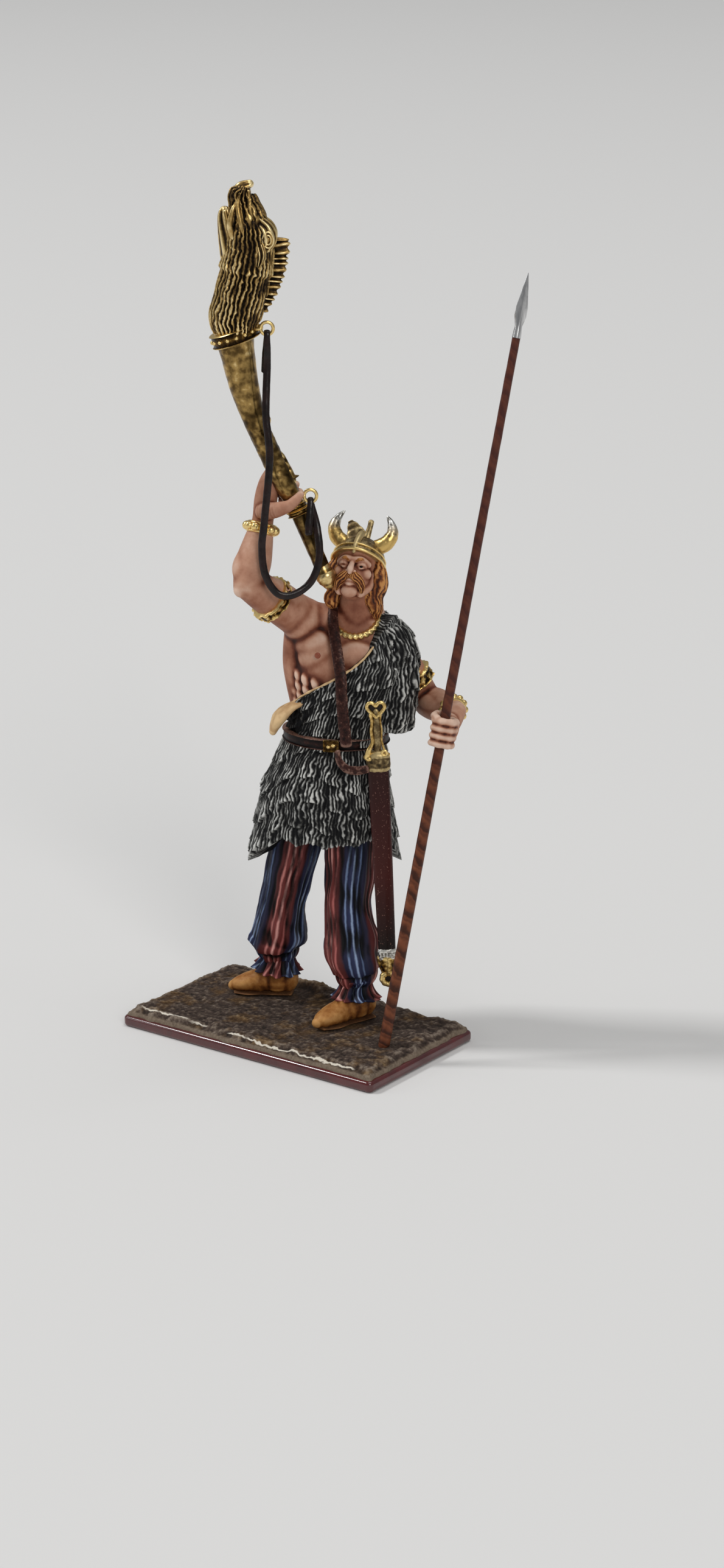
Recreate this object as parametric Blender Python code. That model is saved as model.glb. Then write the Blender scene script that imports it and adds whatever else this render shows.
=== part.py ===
# A cast and painted warrior miniature, 54 mm to the eyes: a horn blower with a boar's head horn, a long
# spear and a sheathed sword, on a thin plinth covered with modelled ground.
# Metres, +Z up. The origin is the middle of the plinth's underside, X runs along its long side and the
# plinth's front edge is at -Y. Blender 4.5.

import math

import bmesh
import bpy
from mathutils import Matrix, Vector, noise

# Driving sizes, in metres
EYE_HEIGHT = 0.0497          # soles to eyes in this stance, and it sets the size of all free forms
PLINTH_LENGTH = 0.036
PLINTH_WIDTH = 0.0198
PLINTH_THICKNESS = 0.0013
PLINTH_EDGE_RADIUS = 0.0004
GROUND_THICKNESS = 0.0005
GROUND_MARGIN = 0.0007       # bare rim of the plinth around the ground
GROUND_LUMP = 0.0011         # height of the highest lump above the level ground
CLEARANCE = 0.00025          # gap between two pieces that meet
SHAFT_FOOT_DIAMETER = 0.0013
SHAFT_HEAD_DIAMETER = 0.0009
SHAFT_LENGTH = 0.0806
SPEARHEAD_LENGTH = 0.0068
SPEARHEAD_WIDTH = 0.0013
HORN_MOUTH_DIAMETER = 0.0019
HORN_GRIP_DIAMETER = 0.0024
HORN_TOP_DIAMETER = 0.0038
RING_WIRE_DIAMETER = 0.00026
RING_INNER_WIDTH = 0.00105
STRAP_WIDTH = 0.00085
STRAP_THICKNESS = 0.00042
STRAP_FOLD_WIDTH = 0.00066
STRAP_FOLD_THICKNESS = 0.0003
SCABBARD_WIDTH = 0.0021
SCABBARD_THICKNESS = 0.0013
BLADE_GRIP_LENGTH = 0.0052
BELT_HEIGHT = 0.0015
BELT_RELIEF = 0.0003

# What follows from them
UNIT = EYE_HEIGHT / 49.7
STAND = PLINTH_THICKNESS + CLEARANCE + GROUND_THICKNESS + CLEARANCE

# Fineness of the cast surfaces
CAST_VOXEL = 0.22 * UNIT
FIGURE_TRIANGLES = 5450
HORN_TRIANGLES = 1750
SWORD_TRIANGLES = 420

# The way each part of the body faces, in degrees from the plinth's front towards +X
PELVIS_TURN = 9.0
CHEST_TURN = 28.0
HEAD_TURN = 34.0
HEAD_TILT = 25.0             # chin up
HEAD_ROLL = 5.0

# Joints and other landmarks of the figure, in units above the soles
HEAD = (4.8, 6.7, 52.0)
PELVIS = (2.0, 5.4, 28.8)
WAIST = (2.2, 5.5, 32.2)
RIBS = (2.6, 5.9, 36.5)
BREAST = (3.2, 6.5, 41.0)
COLLAR = (3.8, 7.1, 45.4)
RIGHT_ARM = {"shoulder": (-0.8, 4.6, 45.6), "elbow": (-3.2, -3.2, 51.4), "wrist": (-3.1, -0.7, 57.6)}
LEFT_ARM = {"shoulder": (7.4, 9.6, 42.8), "elbow": (9.3, 13.4, 35.9), "wrist": (15.2, 10.6, 36.5)}
RIGHT_LEG = {
    "hip": (-1.0, 4.9, 27.0), "thigh": (-2.8, 4.0, 18.8), "knee": (-4.4, 3.5, 12.0),
    "balloon": (-5.6, 4.0, 7.2), "tie": (-5.9, 4.3, 4.9), "cuff": (-6.1, 4.3, 3.0),
}
LEFT_LEG = {
    "hip": (4.1, 6.0, 27.0), "thigh": (4.3, 5.1, 19.8), "knee": (4.8, 4.0, 13.3),
    "balloon": (5.9, 3.3, 7.2), "tie": (6.3, 3.2, 4.2), "cuff": (6.4, 3.0, 2.5),
}
RIGHT_SHOE = {"heel": (-4.2, 5.6), "toe": (-11.0, 1.5)}
LEFT_SHOE = {"heel": (7.2, 5.3), "toe": (4.7, -2.7)}
SPEAR_FOOT = (13.9, -1.8, 0.0)
SPEAR_LEAN = (0.0630, 0.2312, 0.9708)
FIST_HEIGHT = 35.2
HORN_LINE = (
    (3.0, 3.0, 51.7), (0.2, 1.5, 59.4), (-1.1, 0.7, 62.6), (-3.5, -0.7, 68.8),
    (-4.6, -1.4, 73.0), (-5.3, -1.75, 77.2), (-5.5, -1.9, 78.5),
)
HORN_BACK = (0.80, 0.60, -0.01)      # the side of the boar's crest
HORN_SIDE = (0.60, -0.80, 0.0)       # the boar's left cheek
ACROSS = Vector((0.80, 0.60, 0.0))   # the way the strap rings' bars and the flat of the sword run
STRAP_LINE = (
    (-1.75, -1.0, 75.3), (-1.3, -1.9, 70.5), (-0.6, -2.3, 65.7), (-0.7, -3.3, 58.9), (-0.8, -3.7, 55.9),
    (-0.3, -3.8, 53.0), (0.8, -3.1, 50.9), (2.1, -1.9, 50.7), (3.3, -0.3, 52.0), (3.8, 0.65, 54.5),
    (3.3, 1.1, 57.4),
)
UPPER_RING = (-2.1, -0.45, 79.7)
UPPER_TAIL = (-2.6, -0.3, 74.9)
UPPER_LUG = (-4.2, -1.5, 79.3)
LOWER_RING = (2.0, 1.55, 61.2)
LOWER_TAIL = (2.5, 0.5, 57.2)
LOWER_LUG = (0.1, 1.4, 60.6)
SWORD_LINE = {"guard": (9.9, 2.4, 32.4), "end": (10.7, 3.3, 8.6)}

COLOURS = {
    "plinth": (0.11, 0.012, 0.014), "groundwork": (0.10, 0.07, 0.045), "figure": (0.45, 0.22, 0.13),
    "boar_horn": (0.32, 0.22, 0.08), "horn_strap": (0.02, 0.01, 0.01), "spear_shaft": (0.16, 0.05, 0.03),
    "spearhead": (0.55, 0.54, 0.52), "sword": (0.12, 0.03, 0.025),
}


def at(point):
    return Vector((point[0] * UNIT, point[1] * UNIT, STAND + point[2] * UNIT))


def facing(turn):
    angle = math.radians(turn)
    return Vector((math.sin(angle), -math.cos(angle), 0))


def leftward(turn):
    angle = math.radians(turn)
    return Vector((math.cos(angle), math.sin(angle), 0))


def clear_scene():
    for thing in list(bpy.data.objects):
        bpy.data.objects.remove(thing, do_unlink=True)


def paint(name, roughness=0.55, metallic=0.0):
    material = bpy.data.materials.new(name)
    material.use_nodes = True
    shader = material.node_tree.nodes["Principled BSDF"]
    shader.inputs["Base Color"].default_value = (*COLOURS[name], 1)
    shader.inputs["Roughness"].default_value = roughness
    shader.inputs["Metallic"].default_value = metallic
    return material


def to_object(name, bm, roughness=0.55, metallic=0.0):
    bmesh.ops.recalc_face_normals(bm, faces=bm.faces)
    mesh = bpy.data.meshes.new(name)
    bm.to_mesh(mesh)
    bm.free()
    part = bpy.data.objects.new(name, mesh)
    bpy.context.scene.collection.objects.link(part)
    mesh.materials.append(paint(name, roughness, metallic))
    mesh.shade_smooth()
    mesh.set_sharp_from_angle(angle=math.radians(35))
    return part


def blended(values, t):
    """A smooth value at t, from 0 to 1, through a row of values."""
    place = t * (len(values) - 1)
    index = min(int(place), len(values) - 2)
    share = place - index
    before = values[max(index - 1, 0)]
    start, end = values[index], values[index + 1]
    after = values[min(index + 2, len(values) - 1)]
    return (start + (end - before) * (share * 0.5)
            + (before * 2 - start * 5 + end * 4 - after) * (share ** 2 * 0.5)
            + (start * 3 - before - end * 3 + after) * (share ** 3 * 0.5))


def sweep(bm, line, widths, depths, side, sides=12, rings=16, cap=2, relief=None, even=True):
    """A closed round-ended body along a line: side is the direction its widths are measured in."""
    if even:
        lengths = [0.0]
        for start, end in zip(line, line[1:]):
            lengths.append(lengths[-1] + (end - start).length)
        stops = [length / lengths[-1] for length in lengths]
    else:
        stops = [index / (len(line) - 1) for index in range(len(line))]
    made = bmesh.ops.create_uvsphere(bm, u_segments=sides, v_segments=rings, radius=1.0)["verts"]
    for vert in made:
        ring = round(math.acos(max(-1.0, min(1.0, -vert.co.z))) / math.pi * rings)
        around = math.atan2(vert.co.y, vert.co.x)
        along = (ring - cap) / (rings - 2 * cap)
        shrink, push = 1.0, 0.0
        if ring < cap:
            shrink, push = math.sin(ring / cap * math.pi / 2), -math.cos(ring / cap * math.pi / 2)
        if ring > rings - cap:
            left = rings - ring
            shrink, push = math.sin(left / cap * math.pi / 2), math.cos(left / cap * math.pi / 2)
        along = max(0.0, min(1.0, along))
        low = max(index for index, stop in enumerate(stops[:-1]) if stop <= along + 1e-9)
        t = (low + (along - stops[low]) / (stops[low + 1] - stops[low])) / (len(line) - 1)
        centre = blended(line, t)
        ahead = (blended(line, min(t + 0.01, 1.0)) - blended(line, max(t - 0.01, 0.0))).normalized()
        across = side(t) if callable(side) else side
        across = (across - ahead * across.dot(ahead)).normalized()
        depth_way = ahead.cross(across)
        width, depth = blended(widths, t), blended(depths, t)
        if relief:
            extra = relief(t, around)
            width, depth = width + extra, depth + extra
        vert.co = (centre + across * (math.cos(around) * width * shrink)
                   + depth_way * (math.sin(around) * depth * shrink)
                   + ahead * (push * min(width, depth)))
    return made


def limb(bm, points, radii, sides=12, rings=14, flat=1.0, side=Vector((1, 0.3, 0.1)), relief=None):
    line = [at(point) for point in points]
    widths = [radius * UNIT for radius in radii]
    return sweep(bm, line, widths, [width * flat for width in widths], side, sides, rings, relief=relief)


def ball(bm, centre, radii, frame=None, sides=16, rings=12):
    """An ellipsoid: frame holds the directions of its three radii."""
    frame = frame or (Vector((1, 0, 0)), Vector((0, 1, 0)), Vector((0, 0, 1)))
    made = bmesh.ops.create_uvsphere(bm, u_segments=sides, v_segments=rings, radius=1.0)["verts"]
    for vert in made:
        reach = vert.co.copy()
        vert.co = centre + sum((way * (reach[i] * radii[i]) for i, way in enumerate(frame)), Vector())
    return made


def hoop(bm, centre, frame, radii, wire, sides=24, wire_sides=8, height=None, relief=None):
    """A closed ring round an oval in the plane of the frame's first two directions."""
    height = height or wire
    profile = bmesh.ops.create_circle(bm, segments=wire_sides, radius=1.0)["verts"]
    for vert in profile:
        vert.co = Vector((1 + vert.co.x * 0.01, 0, vert.co.y))
    edges = list({edge for vert in profile for edge in vert.link_edges})
    bmesh.ops.spin(bm, geom=profile + edges, cent=(0, 0, 0), axis=(0, 0, 1), dvec=(0, 0, 0),
                   angle=math.tau, steps=sides, use_merge=True)
    linked = set(profile)
    border = list(profile)
    while border:
        vert = border.pop()
        for edge in vert.link_edges:
            other = edge.other_vert(vert)
            if other not in linked:
                linked.add(other)
                border.append(other)
    for vert in linked:
        around = math.atan2(vert.co.y, vert.co.x)
        out = (math.hypot(vert.co.x, vert.co.y) - 1) / 0.01
        lift = vert.co.z
        swell = relief(around) if relief else 0.0
        vert.co = (centre + frame[0] * (math.cos(around) * (radii[0] + out * (wire + swell)))
                   + frame[1] * (math.sin(around) * (radii[1] + out * (wire + swell)))
                   + frame[2] * (lift * (height + swell)))
    return linked


def locks(t, around, rows, columns, height):
    """Fur or hair in rows of pointed locks that hang over each other, as a height above the skin."""
    wave = 0.35 * math.sin(around * 3)
    row = t * rows + wave + rows
    shift = 0.5 * (int(row) % 2)
    across = abs(((around / math.tau * columns + shift + 0.15 * math.sin(11 * t)) % 1.0) - 0.5) * 2
    down = row % 1.0
    return height * (0.2 + 0.8 * down) * (1 - across ** 1.5)


def figure_mesh(bm):
    trunk(bm)
    raised_arm(bm)
    spear_arm(bm)
    legs(bm)
    shoes(bm)
    head(bm)
    fur_skirt(bm)
    fur_cape(bm)
    straps_and_belt(bm)


def body_frame(turn):
    return leftward(turn), facing(turn), Vector((0, 0, 1))


def trunk(bm):
    turn = lambda t: leftward(PELVIS_TURN + (CHEST_TURN - PELVIS_TURN) * min(1.0, t * 1.2))
    line = [at(point) for point in (PELVIS, WAIST, RIBS, BREAST, COLLAR)]
    widths = [5.6 * UNIT, 5.0 * UNIT, 5.2 * UNIT, 5.9 * UNIT, 4.0 * UNIT]
    depths = [4.2 * UNIT, 3.6 * UNIT, 3.8 * UNIT, 4.2 * UNIT, 2.6 * UNIT]
    sweep(bm, line, widths, depths, turn, 20, 18)
    limb(bm, ((3.8, 7.3, 44.0), (4.2, 7.1, 47.0), (4.6, 7.0, 51.0)), (2.6, 2.25, 2.3))
    # breast muscles, the right one drawn up by the arm, and the muscle that fills the armpit
    ball(bm, at((1.4, 3.6, 42.2)), (2.6 * UNIT, 1.5 * UNIT, 2.5 * UNIT), body_frame(CHEST_TURN - 8))
    ball(bm, at((5.6, 4.9, 42.0)), (2.5 * UNIT, 1.4 * UNIT, 2.3 * UNIT), body_frame(CHEST_TURN + 8))
    limb(bm, ((-1.5, 4.3, 35.4), (-1.9, 4.3, 40.6), (-1.4, 4.0, 44.6)), (1.4, 2.0, 2.0))
    limb(bm, ((5.0, 8.2, 46.6), (1.6, 5.6, 46.0), (-1.0, 4.0, 46.2)), (1.8, 1.9, 2.2))
    limb(bm, ((3.6, 7.6, 46.0), (5.6, 8.5, 44.3), (7.2, 9.4, 42.9)), (1.5, 1.7, 2.0))


def raised_arm(bm):
    shoulder, elbow, wrist = RIGHT_ARM["shoulder"], RIGHT_ARM["elbow"], RIGHT_ARM["wrist"]
    upper = (Vector(elbow) - Vector(shoulder))
    lower = (Vector(wrist) - Vector(elbow))
    limb(bm, (shoulder, Vector(shoulder) + upper * 0.4, Vector(shoulder) + upper * 0.75, elbow),
         (2.5, 2.3, 2.05, 1.75))
    limb(bm, (elbow, Vector(elbow) + lower * 0.35, Vector(elbow) + lower * 0.7, wrist),
         (1.75, 2.0, 1.7, 1.35))
    ball(bm, at((-0.9, 3.6, 46.2)), (2.6 * UNIT, 2.7 * UNIT, 2.5 * UNIT))
    band(bm, Vector(shoulder) + upper * 0.62, upper, 2.3, 0.32, 0.55)
    band(bm, Vector(elbow) + lower * 0.93, lower, 1.6, 0.36, 0.5, beads=11)
    horn_hand(bm)


def band(bm, centre, way, radius, wire, height, beads=0):
    """A worked metal band round an arm."""
    up = Vector(way).normalized()
    first = up.cross(Vector((0.3, -0.5, 0.8))).normalized()
    frame = (first, up.cross(first), up)
    relief = (lambda around: 0.2 * UNIT * max(0.0, math.cos(around * beads))) if beads else None
    hoop(bm, at(centre), frame, (radius * UNIT, radius * UNIT), wire * UNIT, height=height * UNIT,
         sides=44 if beads else 28, relief=relief)


def horn_hand(bm):
    """The raised hand: palm left of the tube, fingers behind it, the thumb across its front."""
    palm = ((-2.9, -0.7, 58.6), (-2.8, -0.3, 60.6), (-2.8, 0.2, 62.4), (-2.6, 0.5, 63.9))
    limb(bm, palm, (1.2, 1.3, 1.15, 0.7), flat=0.95)
    limb(bm, ((-2.4, -1.3, 59.6), (-0.9, -1.1, 59.8), (0.4, -0.3, 60.2), (1.1, 0.5, 61.2)),
         (0.95, 0.85, 0.7, 0.5), sides=10)
    tube = Vector(HORN_LINE[2]) - Vector(HORN_LINE[1])
    for index in range(4):
        centre = Vector(HORN_LINE[1]) + tube * (0.42 + 0.27 * index)
        curl(bm, centre, tube, HORN_GRIP_DIAMETER / 2 / UNIT + 0.35, 0.45, Vector((-1, -0.2, 0)), (-0.3, -1.85))


def curl(bm, centre, axis, reach, radius, start, angles):
    """A finger bent round an axis: angles in radians from the start direction."""
    axis = axis.normalized()
    first = (start - axis * start.dot(axis)).normalized()
    second = axis.cross(first)
    points = []
    for step in range(7):
        angle = angles[0] + (angles[1] - angles[0]) * step / 6
        points.append(centre + first * (math.cos(angle) * reach) + second * (math.sin(angle) * reach))
    limb(bm, points, (radius * 1.05, radius, radius, radius, radius * 0.95, radius * 0.9, radius * 0.8),
         sides=10, rings=16, side=axis)


def spear_point(height):
    """The spear's middle line at a height above the soles, in units."""
    lean = Vector(SPEAR_LEAN)
    return Vector(SPEAR_FOOT) + lean * (height / lean.z)


def spear_arm(bm):
    shoulder, elbow, wrist = LEFT_ARM["shoulder"], LEFT_ARM["elbow"], LEFT_ARM["wrist"]
    upper = Vector(elbow) - Vector(shoulder)
    lower = Vector(wrist) - Vector(elbow)
    limb(bm, (shoulder, Vector(shoulder) + upper * 0.5, elbow), (2.2, 1.95, 1.65))
    limb(bm, (elbow, Vector(elbow) + lower * 0.3, Vector(elbow) + lower * 0.7, wrist),
         (1.75, 1.9, 1.6, 1.25))
    band(bm, Vector(shoulder) + upper * 0.55, upper, 2.15, 0.3, 0.85)
    band(bm, Vector(elbow) + lower * 0.9, lower, 1.4, 0.3, 0.45, beads=10)
    grip = spear_point(FIST_HEIGHT)
    palm_way = (Vector(wrist) - grip)
    palm_way.z = 0
    palm_way.normalize()
    palm = grip + palm_way * 1.75
    frame = (palm_way, Vector(SPEAR_LEAN).cross(palm_way), Vector(SPEAR_LEAN))
    ball(bm, at(palm), (1.15 * UNIT, 1.45 * UNIT, 1.85 * UNIT), frame)
    limb(bm, (wrist, Vector(wrist).lerp(palm, 0.6), palm), (1.2, 1.25, 1.2))
    for index in range(4):
        centre = spear_point(FIST_HEIGHT + 1.25 - 0.82 * index)
        curl(bm, centre, Vector(SPEAR_LEAN), SHAFT_FOOT_DIAMETER / 2 / UNIT + 0.62, 0.46, palm_way, (-0.5, -3.9))
    thumb = spear_point(FIST_HEIGHT + 1.9)
    curl(bm, thumb, Vector(SPEAR_LEAN), SHAFT_FOOT_DIAMETER / 2 / UNIT + 0.6, 0.44, palm_way, (0.4, 2.4))


def legs(bm):
    for leg, phase in ((RIGHT_LEG, 0.0), (LEFT_LEG, 1.7)):
        names = ("hip", "thigh", "knee", "balloon")
        points = [leg[name] for name in names]
        folds = lambda t, around, phase=phase: (
            0.16 * UNIT * math.sin(around * 5 + t * 6 + phase) * (0.4 + t)
            + 0.2 * UNIT * max(0.0, math.sin(t * 19 + around * 2 + phase)) * (0.3 < t < 0.95))
        limb(bm, points + [Vector(leg["balloon"]).lerp(Vector(leg["tie"]), 0.55)],
             (3.3, 2.9, 2.65, 2.95, 2.5), sides=20, rings=30, relief=folds)
        frill = lambda t, around, phase=phase: 0.22 * UNIT * math.sin(around * 9 + phase) * t
        limb(bm, (Vector(leg["tie"]) + Vector((0, 0, 0.7)), leg["tie"], leg["cuff"]),
             (2.2, 1.95, 2.6), sides=36, rings=12, relief=frill)


def shoes(bm):
    for shoe, leg in ((RIGHT_SHOE, RIGHT_LEG), (LEFT_SHOE, LEFT_LEG)):
        heel, toe = Vector((*shoe["heel"], 0)), Vector((*shoe["toe"], 0))
        way = (toe - heel).normalized()
        long = (toe - heel).length
        stops = (0.12, 0.3, 0.5, 0.7, 0.86, 0.95)
        heights = (1.55, 1.75, 1.45, 1.15, 0.85, 0.6)
        widths = [width * UNIT for width in (1.15, 1.3, 1.4, 1.5, 1.25, 0.7)]
        line = [at(heel + way * (long * stop) + Vector((0, 0, height * 0.98)))
                for stop, height in zip(stops, heights)]
        across = way.cross(Vector((0, 0, 1)))
        made = sweep(bm, line, widths, [height * UNIT for height in heights], across, 16, 16)
        for vert in made:
            vert.co.z = max(vert.co.z, STAND)
        sole = [at(heel + way * (long * stop) + Vector((0, 0, 0.24))) for stop in (0.1, 0.3, 0.5, 0.72, 0.9)]
        made = sweep(bm, sole, [width * UNIT for width in (1.35, 1.4, 1.35, 1.6, 1.05)], [0.3 * UNIT] * 5,
                     across, 16, 14)
        for vert in made:
            vert.co.z = max(vert.co.z, STAND)
        ankle = Vector(leg["cuff"])
        limb(bm, ((ankle.x, ankle.y, 3.6), (ankle.x, ankle.y, 1.4)), (1.5, 1.5))


def head_frame():
    face, left, up = facing(HEAD_TURN), leftward(HEAD_TURN), Vector((0, 0, 1))
    tilt, roll = math.radians(HEAD_TILT), math.radians(HEAD_ROLL)
    ahead = face * math.cos(tilt) + up * math.sin(tilt)
    top = up * math.cos(tilt) - face * math.sin(tilt)
    crown = top * math.cos(roll) + left * math.sin(roll)
    return left * math.cos(roll) - top * math.sin(roll), ahead, crown


def on_head(left, ahead, up):
    frame = head_frame()
    return Vector(HEAD) + frame[0] * left + frame[1] * ahead + frame[2] * up


def head(bm):
    frame = head_frame()
    place = lambda *spot: at(on_head(*spot))
    size = lambda *radii: tuple(radius * UNIT for radius in radii)
    ball(bm, place(0, -0.2, 0.9), size(2.4, 3.0, 2.8), frame)
    ball(bm, place(0, 0.9, -1.0), size(2.05, 2.1, 2.5), frame)
    ball(bm, place(0, 2.15, -2.75), size(0.95, 0.8, 0.75), frame)
    ball(bm, place(0, 2.4, 0.72), size(1.75, 0.62, 0.32), frame)
    ball(bm, place(0, 2.65, -1.55), size(0.85, 0.42, 0.5), frame)
    limb(bm, (on_head(0, 2.85, 0.55), on_head(0, 3.3, -0.2), on_head(0, 3.45, -0.6)), (0.26, 0.36, 0.46), sides=10)
    for side in (-1, 1):
        ball(bm, place(side * 1.3, 2.0, -0.35), size(0.75, 0.55, 0.5), frame)
        ball(bm, place(side * 0.42, 3.1, -0.62), size(0.3, 0.3, 0.25), frame)
        # the drooping moustache
        limb(bm, (on_head(side * 0.15, 3.1, -1.0), on_head(side * 0.9, 2.95, -1.35),
                  on_head(side * 1.45, 2.45, -2.2), on_head(side * 1.5, 2.2, -3.0)),
             (0.36, 0.42, 0.36, 0.18), sides=10)
    hair(bm)
    helmet(bm)


def hair(bm):
    """Locks that hang from under the helmet to the shoulders."""
    for index in range(9):
        angle = math.radians(58 + index * 30.5)
        side, back = math.sin(angle), math.cos(angle)
        low = -4.3 if index in (0, 8) else -4.7
        points = [on_head(side * 2.3, back * 2.7 - 0.3, 0.9), on_head(side * 2.6, back * 3.0 - 0.4, -1.0),
                  on_head(side * 2.35, back * 2.6 - 1.0, -3.0), on_head(side * 2.5, back * 2.4 - 1.7, low)]
        twist = lambda t, around, index=index: 0.14 * UNIT * math.sin(around * 3 + t * 8 + index)
        limb(bm, points, (0.75, 1.0, 0.95, 0.5), sides=12, rings=16, flat=0.75, relief=twist)


def helmet(bm):
    frame = head_frame()
    tall = bmesh.new()
    ball(tall, Vector(), (2.72 * UNIT, 3.25 * UNIT, 2.95 * UNIT), sides=28, rings=20)
    rim = Vector((0, -0.34, 0.94)).normalized()
    cut = bmesh.ops.bisect_plane(tall, geom=tall.verts[:] + tall.edges[:] + tall.faces[:],
                                 plane_co=rim * (-0.1 * UNIT), plane_no=-rim, clear_outer=True)
    edges = [piece for piece in cut["geom_cut"] if isinstance(piece, bmesh.types.BMEdge)]
    bmesh.ops.contextual_create(tall, geom=edges)
    turn = Matrix((frame[0], frame[1], frame[2])).transposed().to_4x4()
    bmesh.ops.transform(tall, matrix=Matrix.Translation(at(on_head(0, -0.25, 1.25))) @ turn, verts=tall.verts)
    mesh = bpy.data.meshes.new("helmet shape")
    tall.to_mesh(mesh)
    tall.free()
    bm.from_mesh(mesh)
    bpy.data.meshes.remove(mesh)
    world_rim = (frame[1] * rim.y + frame[2] * rim.z).normalized()
    ahead = frame[0].cross(world_rim) * -1
    hoop(bm, at(on_head(0, -0.25, 1.25)) + world_rim * (0.3 * UNIT), (frame[0], ahead, world_rim),
         (2.7 * UNIT, 3.2 * UNIT), 0.2 * UNIT, height=0.5 * UNIT, sides=28)
    for side in (-1, 1):
        limb(bm, (on_head(side * 1.9, -0.1, 2.9), on_head(side * 2.9, 0.0, 3.6), on_head(side * 3.35, 0.1, 4.7),
                  on_head(side * 3.0, 0.1, 5.8), on_head(side * 2.55, 0.1, 6.5)),
             (0.95, 0.95, 0.75, 0.45, 0.2), sides=12, rings=18)
    # the crest: a broad fin towards the right horn and an upright peg behind the ridge
    limb(bm, (on_head(-0.5, 0.4, 3.7), on_head(-1.0, 0.4, 4.6), on_head(-1.5, 0.4, 5.4)), (0.75, 0.6, 0.32),
         flat=0.4, side=frame[0])
    limb(bm, (on_head(0.45, -0.1, 3.8), on_head(0.65, -0.1, 5.0), on_head(0.7, -0.1, 5.7)), (0.5, 0.35, 0.32),
         flat=0.8)
    limb(bm, (on_head(-0.2, 2.4, 2.7), on_head(-0.1, 1.2, 3.9), on_head(0.1, -0.5, 4.3)), (0.3, 0.5, 0.4),
         sides=10)


def bump(around, centre, width):
    """A smooth swelling round one direction."""
    gap = (around - centre + math.pi) % math.tau - math.pi
    return math.exp(-(gap / width) ** 2)


def skirt_hem(around):
    """Height of the ragged hem: it hangs lower at the right hip and behind the left one."""
    right_flap = bump(around, -2.65, 0.4)
    left_flap = bump(around, 0.5, 0.38)
    ragged = 0.7 * abs(((around / math.tau * 13) % 1.0) * 2 - 1)
    return 21.7 + ragged - 3.8 * right_flap - 4.4 * left_flap + 0.6 * math.sin(around)


def fur_skirt(bm):
    rings, sides, turned = 30, 66, 5
    made = bmesh.ops.create_uvsphere(bm, u_segments=sides, v_segments=rings, radius=1.0)["verts"]
    for vert in made:
        ring = round(math.acos(max(-1.0, min(1.0, -vert.co.z))) / math.pi * rings)
        around = math.atan2(vert.co.y, vert.co.x)
        hem = skirt_hem(around)
        if ring < turned:
            share = ring / turned
            down, reach = 1.0, share * 0.9
            height = hem + 2.4 * (1 - share ** 2) + 0.3
            relief = 0.0
        else:
            down = 1 - (ring - turned) / (rings - turned)
            reach = 1.0 if ring < rings else 0.0
            height = hem + (33.4 - hem) * (1 - down)
            relief = locks(down, around, 4.2, 15, 1.1) if down > 0.04 else 0.0
        flare = (1.9 * bump(around, -2.65, 0.45) + 1.1 * bump(around, 0.5, 0.4)) * down ** 2
        wide = 5.2 + 1.7 * min(1.0, down * 1.9) ** 0.8 + 0.5 * down + flare
        deep = 3.8 + 1.1 * min(1.0, down * 1.9) ** 0.8 + 0.6 * down + flare
        turn = PELVIS_TURN + 4 * (1 - down)
        middle = Vector((2.1 - 0.9 * min(1.0, down * 2), 5.5 - 0.7 * min(1.0, down * 2), height))
        vert.co = at(middle + leftward(turn) * (math.cos(around) * (wide + relief) * reach)
                     + facing(turn) * (-math.sin(around) * (deep + relief) * reach))


def cape_top(around):
    """Height of the cape's upper edge: low under the right arm, high at the left of the neck."""
    return 40.6 + 5.2 * math.cos(around + 0.25) + 1.2 * math.cos(2 * around)


def fur_cape(bm):
    rings, sides, turned = 24, 54, 3
    made = bmesh.ops.create_uvsphere(bm, u_segments=sides, v_segments=rings, radius=1.0)["verts"]
    for vert in made:
        ring = round(math.acos(max(-1.0, min(1.0, -vert.co.z))) / math.pi * rings)
        around = math.atan2(vert.co.y, vert.co.x)
        top = cape_top(around)
        up = max(0.0, min(1.0, (ring - turned) / (rings - 2 * turned)))
        reach = min(ring, turned, rings - ring) / turned
        height = 32.6 + (top - 32.6) * up
        relief = locks(1 - up, around, 3.6, 14, 1.0) * (0 < up < 1)
        chest = max(0.0, min(1.0, (height - 32.6) / 12))
        wide = blended([5.5, 5.7, 6.2, 6.6, 4.9], chest)
        deep = blended([4.2, 4.3, 4.7, 5.0, 3.6], chest)
        turn = PELVIS_TURN + (CHEST_TURN - PELVIS_TURN) * chest
        middle = Vector((blended([2.2, 2.6, 3.2, 3.6], chest), blended([5.5, 5.9, 6.5, 6.9], chest), height))
        vert.co = at(middle + leftward(turn) * (math.cos(around) * (wide + relief) * reach)
                     + facing(turn) * (-math.sin(around) * (deep + relief) * reach))
    fur = lambda t, around: UNIT * (locks(t, around, 4, 8, 1.0) - 0.15)
    limb(bm, ((4.9, 8.0, 45.3), (6.3, 8.3, 43.6), (7.3, 8.3, 41.0), (7.6, 7.9, 37.6), (7.4, 6.7, 33.8)),
         (1.5, 2.2, 2.3, 2.25, 2.1), sides=32, rings=26, flat=1.15, side=leftward(CHEST_TURN), relief=fur)
    limb(bm, ((5.4, 10.0, 44.6), (5.6, 10.9, 40.0), (5.2, 10.6, 35.0)), (1.9, 2.3, 2.0), sides=28, rings=20,
         flat=0.7, side=leftward(CHEST_TURN), relief=fur)
    # the tan inside of the hide, folded out under the right arm
    limb(bm, ((0.0, 2.4, 36.5), (-1.6, 0.4, 35.8), (-2.5, -0.5, 34.2)), (0.95, 1.1, 0.9), flat=0.6,
         side=Vector((0.6, -0.8, 0)))


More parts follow.
